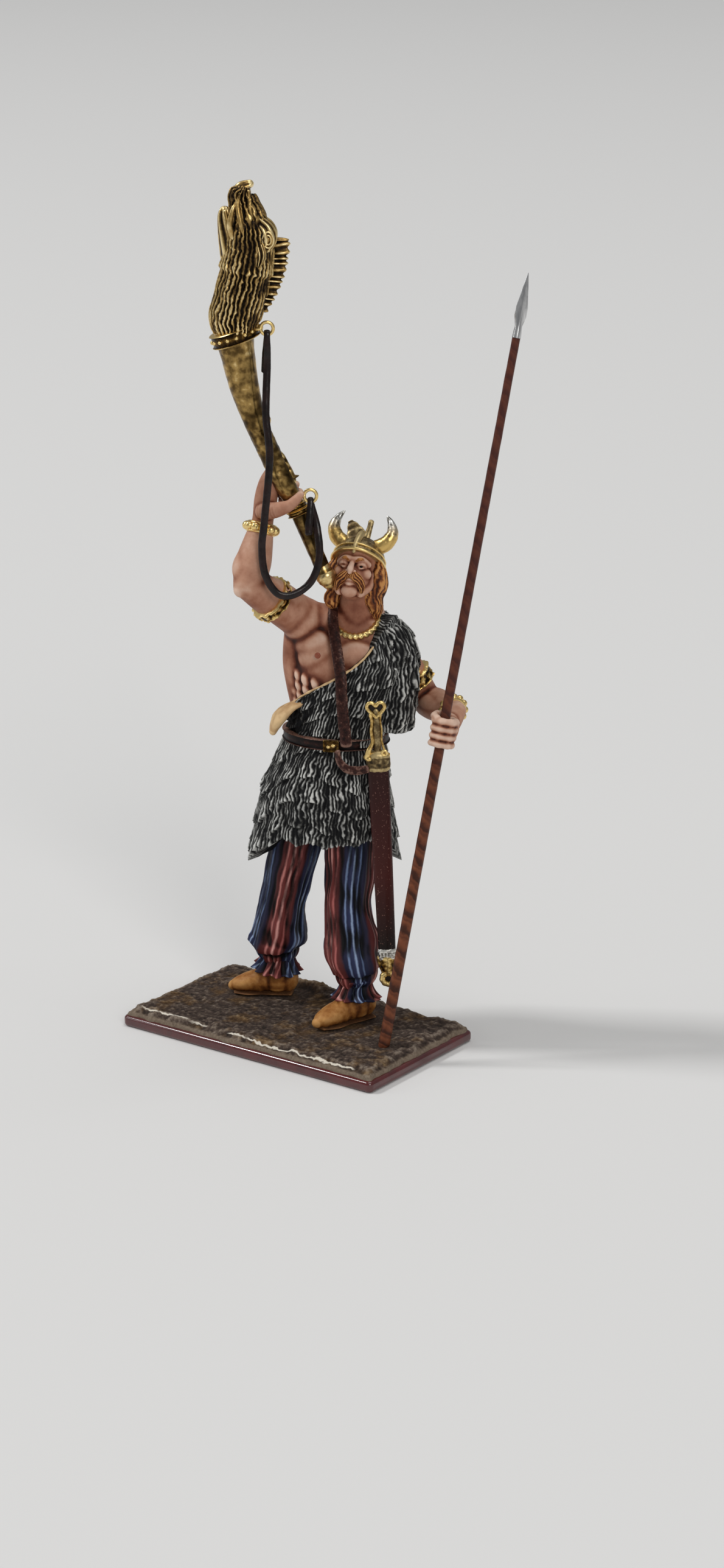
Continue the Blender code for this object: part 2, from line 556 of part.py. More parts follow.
def straps_and_belt(bm):
    waist = PELVIS_TURN + 4
    hoop(bm, at((2.1, 5.5, 32.9)), body_frame(waist), (5.95 * UNIT, 4.6 * UNIT), BELT_RELIEF,
         height=BELT_HEIGHT / 2, sides=40)
    buckle = at((4.6, 0.95, 32.9))
    ball(bm, buckle, (1.0 * UNIT, 0.5 * UNIT, 0.85 * UNIT), body_frame(waist + 14))
    chest = ((1.4, 5.6, 47.0), (2.6, 4.0, 45.8), (4.3, 2.3, 43.8), (5.2, 1.8, 41.0), (5.7, 1.2, 37.5),
             (6.3, 1.0, 33.5))
    limb(bm, chest, (0.62,) * 6, sides=10, rings=24, flat=0.5, side=leftward(CHEST_TURN))
    limb(bm, ((6.3, 0.7, 31.4), (7.6, 0.7, 30.4), (8.8, 1.5, 30.2)), (0.6, 0.55, 0.5), sides=10, flat=0.6)
    ring = (leftward(CHEST_TURN), (facing(CHEST_TURN) + Vector((0, 0, -0.3))).normalized())
    hoop(bm, at((4.3, 6.5, 45.1)), (*ring, ring[0].cross(ring[1])), (2.6 * UNIT, 2.7 * UNIT), 0.38 * UNIT,
         sides=40, relief=lambda around: 0.07 * UNIT * math.sin(around * 20))


def boar_mesh(bm):
    """The top of the horn: a boar's head with its snout straight up, mouth open away from the crest."""
    back, side = Vector(HORN_BACK).normalized(), Vector(HORN_SIDE).normalized()
    foot = Vector(HORN_LINE[-1])
    place = lambda out, up, cheek=0.0: foot + back * out + Vector((0, 0, up)) + side * cheek
    # each stop: towards the crest, up, half width seen from the cheek, half thickness
    stops = ((0.2, 0.2, 2.0, 2.1), (0.1, 2.2, 2.35, 2.3), (0.75, 4.6, 2.5, 2.4), (1.2, 6.5, 2.5, 2.3),
             (1.55, 8.3, 2.4, 2.15), (1.8, 10.0, 2.4, 2.1), (1.8, 11.6, 2.35, 2.05), (1.6, 13.2, 1.95, 1.8),
             (1.3, 14.6, 1.6, 1.45), (1.05, 15.6, 1.3, 1.25), (1.3, 16.3, 0.95, 1.1))
    line = [at(place(out, up)) for out, up, _, _ in stops]
    mane = lambda t, around: UNIT * (0.0 if t > 0.66 else locks(0.66 - t, around + 0.5 * t, 3.2, 13, 0.8))
    sweep(bm, line, [stop[2] * UNIT for stop in stops], [stop[3] * UNIT for stop in stops], back, 52, 44,
          relief=mane, even=False)
    # lower jaw, nose pad, brows and ears
    limb(bm, (place(-0.1, 9.4), place(-0.65, 11.6), place(-1.1, 13.6), place(-1.05, 14.2)),
         (1.4, 1.05, 0.7, 0.5), side=side, flat=0.9)
    limb(bm, (place(0.45, 15.8), place(1.25, 16.5), place(2.0, 16.8)), (0.5, 0.7, 0.55), side=side, flat=0.8)
    for cheek in (-1, 1):
        ball(bm, at(place(3.35, 11.7, cheek * 1.2)), (0.95 * UNIT, 0.7 * UNIT, 1.1 * UNIT))
        limb(bm, (place(2.6, 10.9, cheek * 2.0), place(2.9, 9.6, cheek * 2.4), place(2.6, 8.2, cheek * 2.5)),
             (0.6, 0.75, 0.3), flat=0.6)
        limb(bm, (place(0.1, 12.0, cheek * 1.3), place(0.0, 13.6, cheek * 1.5), place(0.4, 14.9, cheek * 1.3)),
             (0.4, 0.35, 0.2), sides=8)
    # the bristling crest: a row of flat bristles down the back of the neck
    for index in range(11):
        share = index / 10
        root = place(3.4 - 0.6 * share ** 2, 10.2 - 7.6 * share)
        tip = place(6.1 - 2.6 * share ** 2.2, 11.0 - 8.0 * share)
        limb(bm, (root, tip), (0.62, 0.42 - 0.1 * share), sides=8, rings=8, flat=0.5, side=Vector((0, 0, 1)))


def horn_mesh(bm, grow=0.0):
    line = [at(point) for point in HORN_LINE]
    mouth, grip, top = (size / 2 + grow for size in (HORN_MOUTH_DIAMETER, HORN_GRIP_DIAMETER, HORN_TOP_DIAMETER))
    radii = [mouth * 0.86, mouth, grip, grip * 1.05, (grip + top) / 2, top * 0.97, top]
    sweep(bm, line, radii, radii, Vector(HORN_SIDE), 20, 26)
    sweep(bm, [line[0].lerp(line[1], -0.06), line[0].lerp(line[1], 0.12)], [mouth * 1.12, mouth * 0.95],
          [mouth * 1.12, mouth * 0.95], Vector(HORN_SIDE), 16, 8)
    if grow:
        return
    frame = tube_frame(line[1] - line[0])
    for share in (0.98, 1.06):
        spot = line[0].lerp(line[1], share)
        hoop(bm, spot, frame, (mouth * 1.02, mouth * 1.02), 0.3 * UNIT, height=0.26 * UNIT, sides=20)
    tilt = (Vector((0, 0, 1)) - Vector(HORN_BACK) * 0.33).normalized()
    collar = (Vector(HORN_SIDE), tilt.cross(Vector(HORN_SIDE)), tilt)
    crown = at(Vector(HORN_LINE[-1]) + Vector((0.2, 0.1, -0.1)))
    hoop(bm, crown, collar, (2.3 * UNIT, 2.4 * UNIT), 0.45 * UNIT, height=0.7 * UNIT, sides=36)
    boss = line[3].lerp(line[4], 0.1) + Vector(HORN_BACK) * (grip * 0.95)
    ball(bm, boss, (0.55 * UNIT, 0.5 * UNIT, 1.2 * UNIT))
    ball(bm, line[2].lerp(line[3], 0.15) + Vector(HORN_BACK) * grip, (0.35 * UNIT, 0.3 * UNIT, 0.45 * UNIT))
    ball(bm, at(Vector(HORN_LINE[-1]) - Vector(HORN_BACK) * 3.0 - Vector((0, 0, 0.5))), (0.5 * UNIT,) * 3)
    boar_mesh(bm)


def tube_frame(way):
    up = way.normalized()
    first = up.cross(Vector((0.6, -0.8, 0.1))).normalized()
    return first, up.cross(first), up


def d_ring(bm, centre):
    """A wire ring in the plane across HORN_SIDE, its straight bar at the bottom, with a lug to the horn."""
    wire = RING_WIRE_DIAMETER / 2
    half = RING_INNER_WIDTH / 2 + wire
    across, up = ACROSS, Vector((0, 0, 1))
    ring = hoop(bm, Vector(), (across, up, Vector(HORN_SIDE)), (half, half), wire, sides=16, wire_sides=5)
    for vert in ring:
        low = -vert.co.dot(up) / half
        if low > 0:
            stretch = 1 / max(abs(vert.co.dot(across)) / half, low, 0.5)
            vert.co += across * (vert.co.dot(across) * (min(stretch, 1.35) - 1))
        vert.co += centre


def ring_lug(bm, root, centre):
    """The lug that holds a strap ring on the horn."""
    wire = RING_WIRE_DIAMETER / 2
    near = centre - ACROSS * (RING_INNER_WIDTH / 2 + wire * 1.3) + Vector((0, 0, wire * 0.7))
    sweep(bm, [root, near], [wire * 1.9, wire * 1.6], [wire * 1.9, wire * 1.6], Vector(HORN_SIDE), 7, 6)


def strap_points():
    """The strap's middle line: folded over both rings' bars, its ends doubled behind it."""
    wire = RING_WIRE_DIAMETER / 2
    turn = wire + CLEARANCE * 0.8 + STRAP_FOLD_THICKNESS / 2
    front = Vector(HORN_SIDE)
    folds = []
    main = [at(point) for point in STRAP_LINE]
    for ring in (UPPER_RING, LOWER_RING):
        bar = at(ring) - Vector((0, 0, RING_INNER_WIDTH / 2 + wire))
        folds.append([bar - front * (math.cos(angle) * turn) + Vector((0, 0, math.sin(angle) * turn))
                      for angle in (math.radians(degree) for degree in (0, 45, 90, 135, 180))])
    upper, lower = folds
    back_end = [at(UPPER_TAIL), at(UPPER_TAIL).lerp(upper[0], 0.5)]
    front_end = [lower[-1].lerp(at(LOWER_TAIL), 0.5), at(LOWER_TAIL)]
    return (back_end + upper + [upper[-1].lerp(main[0], 0.4)] + main + [lower[0].lerp(main[-1], 0.4)]
            + lower + front_end)


def smooth_row(values, parts):
    """A row of values with more of them, read from a smooth curve through them."""
    count = (len(values) - 1) * parts
    return [blended(values, step / count) for step in range(count + 1)]


def strap_mesh(bm):
    points = strap_points()
    count = len(points)
    widths, depths = [], []
    for index in range(count):
        narrow = 2 <= index <= 6 or count - 7 <= index <= count - 3
        widths.append((STRAP_FOLD_WIDTH if narrow else STRAP_WIDTH) / 2)
        depths.append((STRAP_FOLD_THICKNESS if narrow else STRAP_THICKNESS) / 2)
    points, widths, depths = (smooth_row(row, 2) for row in (points, widths, depths))
    count = len(points)
    made = bmesh.ops.create_circle(bm, segments=6, radius=1.0, cap_ends=True)
    face = made["verts"][0].link_faces[0]
    place_strap_ring(made["verts"], points, 0, widths, depths)
    for index in range(1, count):
        grown = bmesh.ops.extrude_face_region(bm, geom=[face])["geom"]
        new_face = [piece for piece in grown if isinstance(piece, bmesh.types.BMFace)][0]
        if index > 1:
            bmesh.ops.delete(bm, geom=[face], context="FACES_ONLY")
        face = new_face
        place_strap_ring(list(face.verts), points, index, widths, depths)


def place_strap_ring(verts, points, index, widths, depths):
    centre = points[index]
    before, after = points[max(index - 1, 0)], points[min(index + 1, len(points) - 1)]
    ahead = (after - before).normalized()
    if index <= 14:
        across = -ACROSS
    elif index >= len(points) - 15:
        across = ACROSS
    else:
        across = ahead.cross(Vector(HORN_SIDE))
    across = (across - ahead * across.dot(ahead)).normalized()
    deep = ahead.cross(across)
    for step, vert in enumerate(verts):
        angle = math.radians(30 + 60 * step)
        vert.co = (centre + across * (math.cos(angle) * widths[index] * 1.15)
                   + deep * (math.sin(angle) * depths[index]))


def sword_mesh(bm, grow=0.0):
    guard, end = at(SWORD_LINE["guard"]), at(SWORD_LINE["end"])
    down = (end - guard).normalized()
    flat = (ACROSS - down * down.dot(ACROSS)).normalized()
    half_wide, half_thick = SCABBARD_WIDTH / 2 + grow, SCABBARD_THICKNESS / 2 + grow
    mouth = guard + down * (0.9 * UNIT)
    tip = end + down * (1.2 * UNIT)
    sweep(bm, [mouth, mouth.lerp(tip, 0.5), tip], [half_wide, half_wide * 0.92, half_wide * 0.8],
          [half_thick, half_thick * 0.95, half_thick * 0.85], flat, 12, 10)
    sweep(bm, [mouth + down * (0.1 * UNIT), mouth + down * (1.3 * UNIT)], [half_wide * 1.12] * 2,
          [half_thick * 1.2] * 2, flat, 12, 8)
    sweep(bm, [guard - flat * (1.0 * UNIT), guard + flat * (1.0 * UNIT)], [0.5 * UNIT + grow] * 2,
          [0.55 * UNIT + grow] * 2, down, 10, 10)
    top = guard - down * BLADE_GRIP_LENGTH
    sweep(bm, [guard, guard.lerp(top, 0.5), top], [0.55 * UNIT + grow] * 3, [0.45 * UNIT + grow] * 3, flat, 10, 10)
    way = (flat, flat.cross(down), -down)
    for side in (-1, 1):
        ball(bm, top + flat * (side * 0.55 * UNIT) - down * (0.45 * UNIT),
             (0.62 * UNIT + grow, 0.45 * UNIT + grow, 0.62 * UNIT + grow), way, 12, 8)
    sweep(bm, [end - down * (0.2 * UNIT), end + down * (1.6 * UNIT)], [half_wide * 0.92] * 2,
          [half_thick * 1.05] * 2, flat, 12, 8)
    disc = end + down * (2.9 * UNIT)
    ball(bm, disc, (0.98 * UNIT + grow, 0.55 * UNIT + grow, 0.98 * UNIT + grow), way, 16, 10)


def cast(name, build, triangles, roughness, metallic, smoothing=2):
    """One casting: the joined shapes are fused into one skin, smoothed and thinned."""
    bm = bmesh.new()
    build(bm)
    part = to_object(name, bm, roughness, metallic)
    skin = part.modifiers.new("fuse", "REMESH")
    skin.mode = "VOXEL"
    skin.voxel_size = CAST_VOXEL
    skin.adaptivity = 0.0
    soft = part.modifiers.new("soften", "SMOOTH")
    soft.factor = 0.5
    soft.iterations = smoothing
    fused = evaluated(part)
    part.modifiers.clear()
    keep_largest(fused)
    part.data = fused
    thin = part.modifiers.new("thin", "DECIMATE")
    thin.ratio = triangles / sum(len(face.vertices) - 2 for face in fused.polygons)
    thin.use_collapse_triangulate = True
    part.data = evaluated(part)
    part.modifiers.clear()
    part.data.shade_smooth()
    return part


def evaluated(part):
    bpy.context.view_layer.update()
    graph = bpy.context.evaluated_depsgraph_get()
    return bpy.data.meshes.new_from_object(part.evaluated_get(graph))


def keep_largest(mesh):
    """Drops any small shell that the fusing leaves inside the casting."""
    bm = bmesh.new()
    bm.from_mesh(mesh)
    left = set(bm.verts)
    shells = []
    while left:
        border = [left.pop()]
        shell = set(border)
        while border:
            vert = border.pop()
            for edge in vert.link_edges:
                other = edge.other_vert(vert)
                if other in left:
                    left.discard(other)
                    shell.add(other)
                    border.append(other)
        shells.append(shell)
    shells.sort(key=len)
    spare = [vert for shell in shells[:-1] for vert in shell]
    bmesh.ops.delete(bm, geom=spare, context="VERTS")
    bm.to_mesh(mesh)
    bm.free()


def combine(part, name, build, operation="DIFFERENCE"):
    """Cuts room for a neighbour out of a casting, or joins fine rings to it."""
    bm = bmesh.new()
    build(bm)
    bmesh.ops.recalc_face_normals(bm, faces=bm.faces)
    mesh = bpy.data.meshes.new(name)
    bm.to_mesh(mesh)
    bm.free()
    helper = bpy.data.objects.new(name, mesh)
    bpy.context.scene.collection.objects.link(helper)
    helper.hide_render = True
    helper.display_type = "WIRE"
    room = part.modifiers.new(name, "BOOLEAN")
    room.operation = operation
    room.solver = "EXACT"
    room.use_self = True
    room.object = helper


def shaft_mesh(bm, grow=0.0):
    lean = Vector(SPEAR_LEAN).normalized()
    foot = at(SPEAR_FOOT)
    made = bmesh.ops.create_cone(bm, cap_ends=True, segments=12, radius1=SHAFT_FOOT_DIAMETER / 2 + grow,
                                 radius2=SHAFT_HEAD_DIAMETER / 2 + grow, depth=SHAFT_LENGTH)["verts"]
    turn = Vector((0, 0, 1)).rotation_difference(lean).to_matrix().to_4x4()
    place = Matrix.Translation(foot + lean * (SHAFT_LENGTH / 2)) @ turn
    bmesh.ops.transform(bm, matrix=place, verts=made)
    for vert in made:
        if vert.co.z < foot.z + SHAFT_FOOT_DIAMETER and not grow:
            vert.co -= lean * ((vert.co.z - foot.z) / lean.z)


def spearhead_mesh(bm):
    """A narrow four-sided blade on a short socket."""
    lean = Vector(SPEAR_LEAN).normalized()
    base = at(SPEAR_FOOT) + lean * (SHAFT_LENGTH + CLEARANCE)
    across = (ACROSS - lean * lean.dot(ACROSS)).normalized()
    through = lean.cross(across)
    socket, blade = SHAFT_HEAD_DIAMETER / 2, SPEARHEAD_WIDTH / 2
    stops = ((0.0, socket, socket), (0.14, socket * 0.9, socket * 0.85), (0.3, blade, socket * 0.85),
             (0.62, blade * 0.7, socket * 0.7), (0.98, blade * 0.09, socket * 0.1))
    made = bmesh.ops.create_circle(bm, segments=8, radius=1.0, cap_ends=True)
    face = made["verts"][0].link_faces[0]
    for index, (share, wide, deep) in enumerate(stops):
        if index:
            grown = bmesh.ops.extrude_face_region(bm, geom=[face])["geom"]
            new_face = [piece for piece in grown if isinstance(piece, bmesh.types.BMFace)][0]
            if index > 1:
                bmesh.ops.delete(bm, geom=[face], context="FACES_ONLY")
            face = new_face
        for step, vert in enumerate(face.verts):
            angle = math.radians(45 * step)
            pinch = 1.0 if step % 2 == 0 or not index else 0.78
            vert.co = (base + lean * (SPEARHEAD_LENGTH * share)
                       + across * (math.cos(angle) * wide * pinch) + through * (math.sin(angle) * deep * pinch))


def plinth_mesh(bm):
    made = bmesh.ops.create_cube(bm, size=1.0)["verts"]
    bmesh.ops.scale(bm, vec=(PLINTH_LENGTH, PLINTH_WIDTH, PLINTH_THICKNESS), verts=made)
    bmesh.ops.translate(bm, vec=(0, 0, PLINTH_THICKNESS / 2), verts=made)
    upright = [edge for edge in bm.edges if abs(edge.verts[0].co.z - edge.verts[1].co.z) > PLINTH_THICKNESS / 2]
    bmesh.ops.bevel(bm, geom=upright, offset=PLINTH_EDGE_RADIUS * 1.6, segments=3, profile=0.5, affect="EDGES")
    rim = [edge for edge in bm.edges
           if all(vert.co.z > PLINTH_THICKNESS * 0.9 for vert in edge.verts) and len(edge.link_faces) == 2
           and abs(edge.calc_face_angle(0)) > 1]
    bmesh.ops.bevel(bm, geom=rim, offset=PLINTH_EDGE_RADIUS, segments=2, profile=0.5, affect="EDGES")


def ground_height(x, y):
    """The rough ground's height above its level part, in shares of GROUND_LUMP."""
    spot = Vector((x / UNIT * 0.25, y / UNIT * 0.33, 3.1))
    rough = 0.5 + 0.5 * noise.noise(spot) + 0.3 * noise.noise(spot * 2.3)
    lump = math.exp(-((x / PLINTH_LENGTH + 0.1) / 0.25) ** 2 - ((y / PLINTH_WIDTH - 0.44) / 0.1) ** 2)
    return max(0.0, min(1.0, 0.34 * rough + 0.55 * lump))


def nearest_foot(x, y):
    """How far a point of the ground is from the figure's shoes and the spear, in units."""
    spot = Vector((x / UNIT, y / UNIT))
    gaps = [(spot - Vector(SPEAR_FOOT[:2])).length - 1.2]
    for shoe in (RIGHT_SHOE, LEFT_SHOE):
        heel, toe = Vector(shoe["heel"]), Vector(shoe["toe"])
        share = max(0.0, min(1.0, (spot - heel).dot(toe - heel) / (toe - heel).length_squared))
        gaps.append((spot - heel.lerp(toe, share)).length - 2.3)
    return max(0.0, min(gaps))


def ragged_edge(x, y):
    """The ground's uneven outline, as a share of its size."""
    return 0.015 * noise.noise(Vector((x / UNIT * 0.6, y / UNIT * 0.6, 0.4)))


def ground_mesh(bm):
    long, wide = PLINTH_LENGTH - 2 * GROUND_MARGIN, PLINTH_WIDTH - 2 * GROUND_MARGIN
    bottom = PLINTH_THICKNESS + CLEARANCE
    made = bmesh.ops.create_grid(bm, x_segments=17, y_segments=10, size=0.5)["verts"]
    for vert in made:
        x, y = vert.co.x * long, vert.co.y * wide
        edge = min(0.5 - abs(vert.co.x), 0.5 - abs(vert.co.y))
        height = GROUND_THICKNESS
        if edge > 1e-4:
            height += GROUND_LUMP * ground_height(x, y) * min(1.0, nearest_foot(x, y) * 0.7)
        else:
            height *= 0.55
            x, y = x * (0.99 + ragged_edge(x, y)), y * (0.985 + ragged_edge(x, y))
        vert.co = Vector((x, y, bottom + height))
    top = bm.faces[:]
    grown = bmesh.ops.extrude_face_region(bm, geom=top)["geom"]
    lower = [piece for piece in grown if isinstance(piece, bmesh.types.BMVert)]
    for vert in lower:
        vert.co.z = bottom
    flat = [face for face in bm.faces if all(abs(vert.co.z - bottom) < 1e-9 for vert in face.verts)]
    bmesh.ops.dissolve_faces(bm, faces=flat)


def simple(name, build, roughness, metallic=0.0):
    bm = bmesh.new()
    build(bm)
    return to_object(name, bm, roughness, metallic)


def main():
    clear_scene()
    simple("plinth", plinth_mesh, 0.2)
    simple("groundwork", ground_mesh, 0.95)
    simple("spear_shaft", shaft_mesh, 0.45)
    simple("spearhead", spearhead_mesh, 0.25, 1.0)
    simple("horn_strap", strap_mesh, 0.3)
    cast("sword", sword_mesh, SWORD_TRIANGLES, 0.4, 0.4)
    horn = cast("boar_horn", horn_mesh, HORN_TRIANGLES, 0.4, 1.0, smoothing=1)
    for name, ring, root in (("upper", UPPER_RING, UPPER_LUG), ("lower", LOWER_RING, LOWER_LUG)):
        combine(horn, name + " lug", lambda bm, root=root, ring=ring: ring_lug(bm, at(root), at(ring)), "UNION")
        combine(horn, name + " ring", lambda bm, ring=ring: d_ring(bm, at(ring)), "UNION")
    figure = cast("figure", figure_mesh, FIGURE_TRIANGLES, 0.6, 0.0)
    combine(figure, "room for spear", lambda bm: shaft_mesh(bm, CLEARANCE))
    combine(figure, "room for horn", lambda bm: horn_mesh(bm, CLEARANCE))
    combine(figure, "room for sword", lambda bm: sword_mesh(bm, CLEARANCE))


main()
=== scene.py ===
import math

import bmesh
import bpy
import numpy as np
from mathutils import Matrix, Vector, noise


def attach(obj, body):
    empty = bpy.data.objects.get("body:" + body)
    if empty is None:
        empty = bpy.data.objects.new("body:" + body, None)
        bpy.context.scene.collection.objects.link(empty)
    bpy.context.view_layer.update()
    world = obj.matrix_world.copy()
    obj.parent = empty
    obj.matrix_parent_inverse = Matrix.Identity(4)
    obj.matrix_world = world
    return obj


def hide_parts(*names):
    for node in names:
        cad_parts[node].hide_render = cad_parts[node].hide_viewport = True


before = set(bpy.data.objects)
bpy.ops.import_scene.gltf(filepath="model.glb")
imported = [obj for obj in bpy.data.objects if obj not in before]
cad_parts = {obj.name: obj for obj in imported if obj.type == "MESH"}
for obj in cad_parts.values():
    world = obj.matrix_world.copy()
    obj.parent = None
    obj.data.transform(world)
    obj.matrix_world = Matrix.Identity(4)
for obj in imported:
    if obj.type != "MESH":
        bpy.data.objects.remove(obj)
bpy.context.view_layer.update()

mm = 0.001
solesHeight = 2.3   # plinth and ground under the soles, in mm
across = Vector((0.8, 0.6, 0.0))   # the flat way of the strap, the sword and the spearhead

pose = {
    "pelvisTurn": 9.0, "chestTurn": 28.0, "headTurn": 25.0, "headTilt": 25.0, "headRoll": 5.0,
    "head": (4.55, 6.5, 52.0), "pelvis": (2.0, 5.4, 28.8), "waist": (2.2, 5.5, 32.2),
    "ribs": (2.6, 5.9, 36.5), "breast": (3.2, 6.5, 41.0), "collar": (3.8, 7.1, 45.4),
    "rightShoulder": (-0.8, 4.6, 45.6), "rightElbow": (-3.2, -3.2, 51.4), "rightWrist": (-3.1, -0.7, 57.6),
    "leftShoulder": (7.4, 9.6, 42.8), "leftElbow": (9.3, 13.4, 35.9), "leftWrist": (15.2, 10.6, 36.5),
}


def vec(*point):
    return Vector(point[0] if len(point) == 1 else point)


def facing(turn):
    return Vector((math.sin(math.radians(turn)), -math.cos(math.radians(turn)), 0))


def leftward(turn):
    return Vector((math.cos(math.radians(turn)), math.sin(math.radians(turn)), 0))


def upright(turn):
    return leftward(turn), facing(turn), Vector((0, 0, 1))


def clamp(value, low=0.0, high=1.0):
    return max(low, min(high, value))


def soft(value, low, high):
    share = clamp((value - low) / (high - low))
    return share * share * (3 - 2 * share)


def bump(angle, centre, width):
    gap = (angle - centre + math.pi) % math.tau - math.pi
    return math.exp(-(gap / width) ** 2)


def blended(values, t):
    # a smooth value through a row of values
    place = t * (len(values) - 1)
    index = min(int(place), len(values) - 2)
    share = place - index
    before, start, end = values[max(index - 1, 0)], values[index], values[index + 1]
    after = values[min(index + 2, len(values) - 1)]
    return (start + (end - before) * (share * 0.5)
            + (before * 2 - start * 5 + end * 4 - after) * (share ** 2 * 0.5)
            + (start * 3 - before - end * 3 + after) * (share ** 3 * 0.5))


# Paints

def newPaint(name, roughness=0.5, metallic=0.0, coat=0.0):
    material = bpy.data.materials.new(name)
    material.use_nodes = True
    shader = material.node_tree.nodes["Principled BSDF"]
    shader.inputs["Roughness"].default_value = roughness
    shader.inputs["Metallic"].default_value = metallic
    shader.inputs["Coat Weight"].default_value = coat
    shader.inputs["Coat Roughness"].default_value = 0.08
    shader.inputs["Specular IOR Level"].default_value = 0.5 if coat or metallic else 0.16
    return material, material.node_tree, shader


def addNode(tree, kind, values=None, **settings):
    node = tree.nodes.new(kind)
    for key, value in settings.items():
        setattr(node, key, value)
    for key, value in (values or {}).items():
        node.inputs[key].default_value = value
    return node


def readMark(tree, name):
    return addNode(tree, "ShaderNodeAttribute", attribute_name=name).outputs["Fac"]


def grainOf(tree, size, detail=3.0, stretch=(1, 1, 1)):
    # noise whose blobs are about this many mm across
    place = addNode(tree, "ShaderNodeTexCoord").outputs["Object"]
    mapping = addNode(tree, "ShaderNodeMapping", {"Scale": tuple(1000 / size * way for way in stretch)})
    tree.links.new(place, mapping.inputs["Vector"])
    texture = addNode(tree, "ShaderNodeTexNoise", {"Scale": 1.0, "Detail": detail, "Roughness": 0.6})
    tree.links.new(mapping.outputs["Vector"], texture.inputs["Vector"])
    return texture.outputs["Fac"]


def sums(tree, operation, first, second):
    node = addNode(tree, "ShaderNodeMath", operation=operation)
    for socket, value in zip(node.inputs, (first, second)):
        if isinstance(value, (int, float)):
            socket.default_value = value
        else:
            tree.links.new(value, socket)
    return node.outputs[0]


def drift(tree, texture, amount):
    # a texture turned into a drift of this much to both sides of 0
    return sums(tree, "MULTIPLY", sums(tree, "SUBTRACT", texture, 0.5), amount)


def rampOf(tree, source, stops):
    node = addNode(tree, "ShaderNodeValToRGB")
    points = node.color_ramp.elements
    while len(points) < len(stops):
        points.new(0.5)
    for point, (place, colour) in zip(points, stops):
        point.position = place
        point.color = (*colour, 1.0) if isinstance(colour, tuple) else (colour, colour, colour, 1.0)
    tree.links.new(source, node.inputs["Fac"])
    return node.outputs["Color"]


def mixed(tree, share, first, second, blend="MIX"):
    node = addNode(tree, "ShaderNodeMix", data_type="RGBA", blend_type=blend)
    for socket, value in ((node.inputs[0], share), (node.inputs[6], first), (node.inputs[7], second)):
        if isinstance(value, (int, float)):
            socket.default_value = value
        elif isinstance(value, tuple):
            socket.default_value = (*value, 1.0)
        else:
            tree.links.new(value, socket)
    return node.outputs[2]


def partsOf(tree, source):
    node = addNode(tree, "ShaderNodeSeparateXYZ")
    tree.links.new(source, node.inputs[0])
    return node.outputs


def placeParts(tree):
    return partsOf(tree, addNode(tree, "ShaderNodeTexCoord").outputs["Object"])


def colourBy(tree, shader, colour):
    tree.links.new(colour, shader.inputs["Base Color"])


def roughen(tree, shader, height, strength, depth):
    # depth in mm
    node = addNode(tree, "ShaderNodeBump", {"Strength": strength, "Distance": depth * mm})
    tree.links.new(height, node.inputs["Height"])
    tree.links.new(node.outputs["Normal"], shader.inputs["Normal"])


def washedPaint(name, stops, roughness=0.5, metallic=0.0, grain=0.35, jitter=0.3, relief=0.3, lift=0.0,
                shadeAndLight=False):
    # dark wash in the hollows and dry brush on what stands out, as the figure is painted: painted shade in
    # the hollows and painted highlights on the ridges, broken up by a fine grain
    material, tree, shader = newPaint(name, roughness, metallic)
    fine = grainOf(tree, grain)
    level = sums(tree, "ADD", readMark(tree, "raised"), drift(tree, fine, jitter))
    # lift paints faces that look up lighter and faces that look down darker, a painted top light
    if lift:
        normal = partsOf(tree, addNode(tree, "ShaderNodeNewGeometry").outputs["Normal"])
        level = sums(tree, "ADD", level, sums(tree, "MULTIPLY", normal["Z"], lift))
    # the soft patches of painted shade and painted highlight
    if shadeAndLight:
        level = sums(tree, "ADD", level, readMark(tree, "shadeAndLight"))
    colourBy(tree, shader, rampOf(tree, level, stops))
    roughen(tree, shader, fine, relief, 0.03)
    return material


def strandPaint(name, stops, roughness, metallic, jitter):
    # the crests of the carved strands are brushed pale, by the piece's own strand mark; a quarter of the
    # raised mark adds painted shade in the hollows and painted highlight on the ridges
    material, tree, shader = newPaint(name, roughness, metallic)
    fine = grainOf(tree, 0.25)
    cloud = grainOf(tree, 3.5, 2.0)
    strand = sums(tree, "MULTIPLY", readMark(tree, "strand"), 0.75)
    level = sums(tree, "ADD", strand, sums(tree, "MULTIPLY", readMark(tree, "raised"), 0.25))
    level = sums(tree, "ADD", level, drift(tree, fine, jitter))
    level = sums(tree, "ADD", level, drift(tree, cloud, jitter * 0.9))
    colourBy(tree, shader, rampOf(tree, level, stops))
    roughen(tree, shader, fine, 0.25, 0.03)
    return material


# Shapes

def noiseAt(*point):
    return noise.noise(Vector(point))


def noiseRound(around, spread, height):
    # noise that closes on itself round a body
    return noiseAt(math.cos(around) * spread, math.sin(around) * spread, height)


def markOn(bm, name):
    return bm.verts.layers.float.get(name) or bm.verts.layers.float.new(name)


def ringAndTurn(vert, rings):
    # which ring of a sphere a point is on, and how far round it
    ring = round(math.acos(clamp(-vert.co.z, -1.0, 1.0)) / math.pi * rings)
    return ring, math.atan2(vert.co.y, vert.co.x)


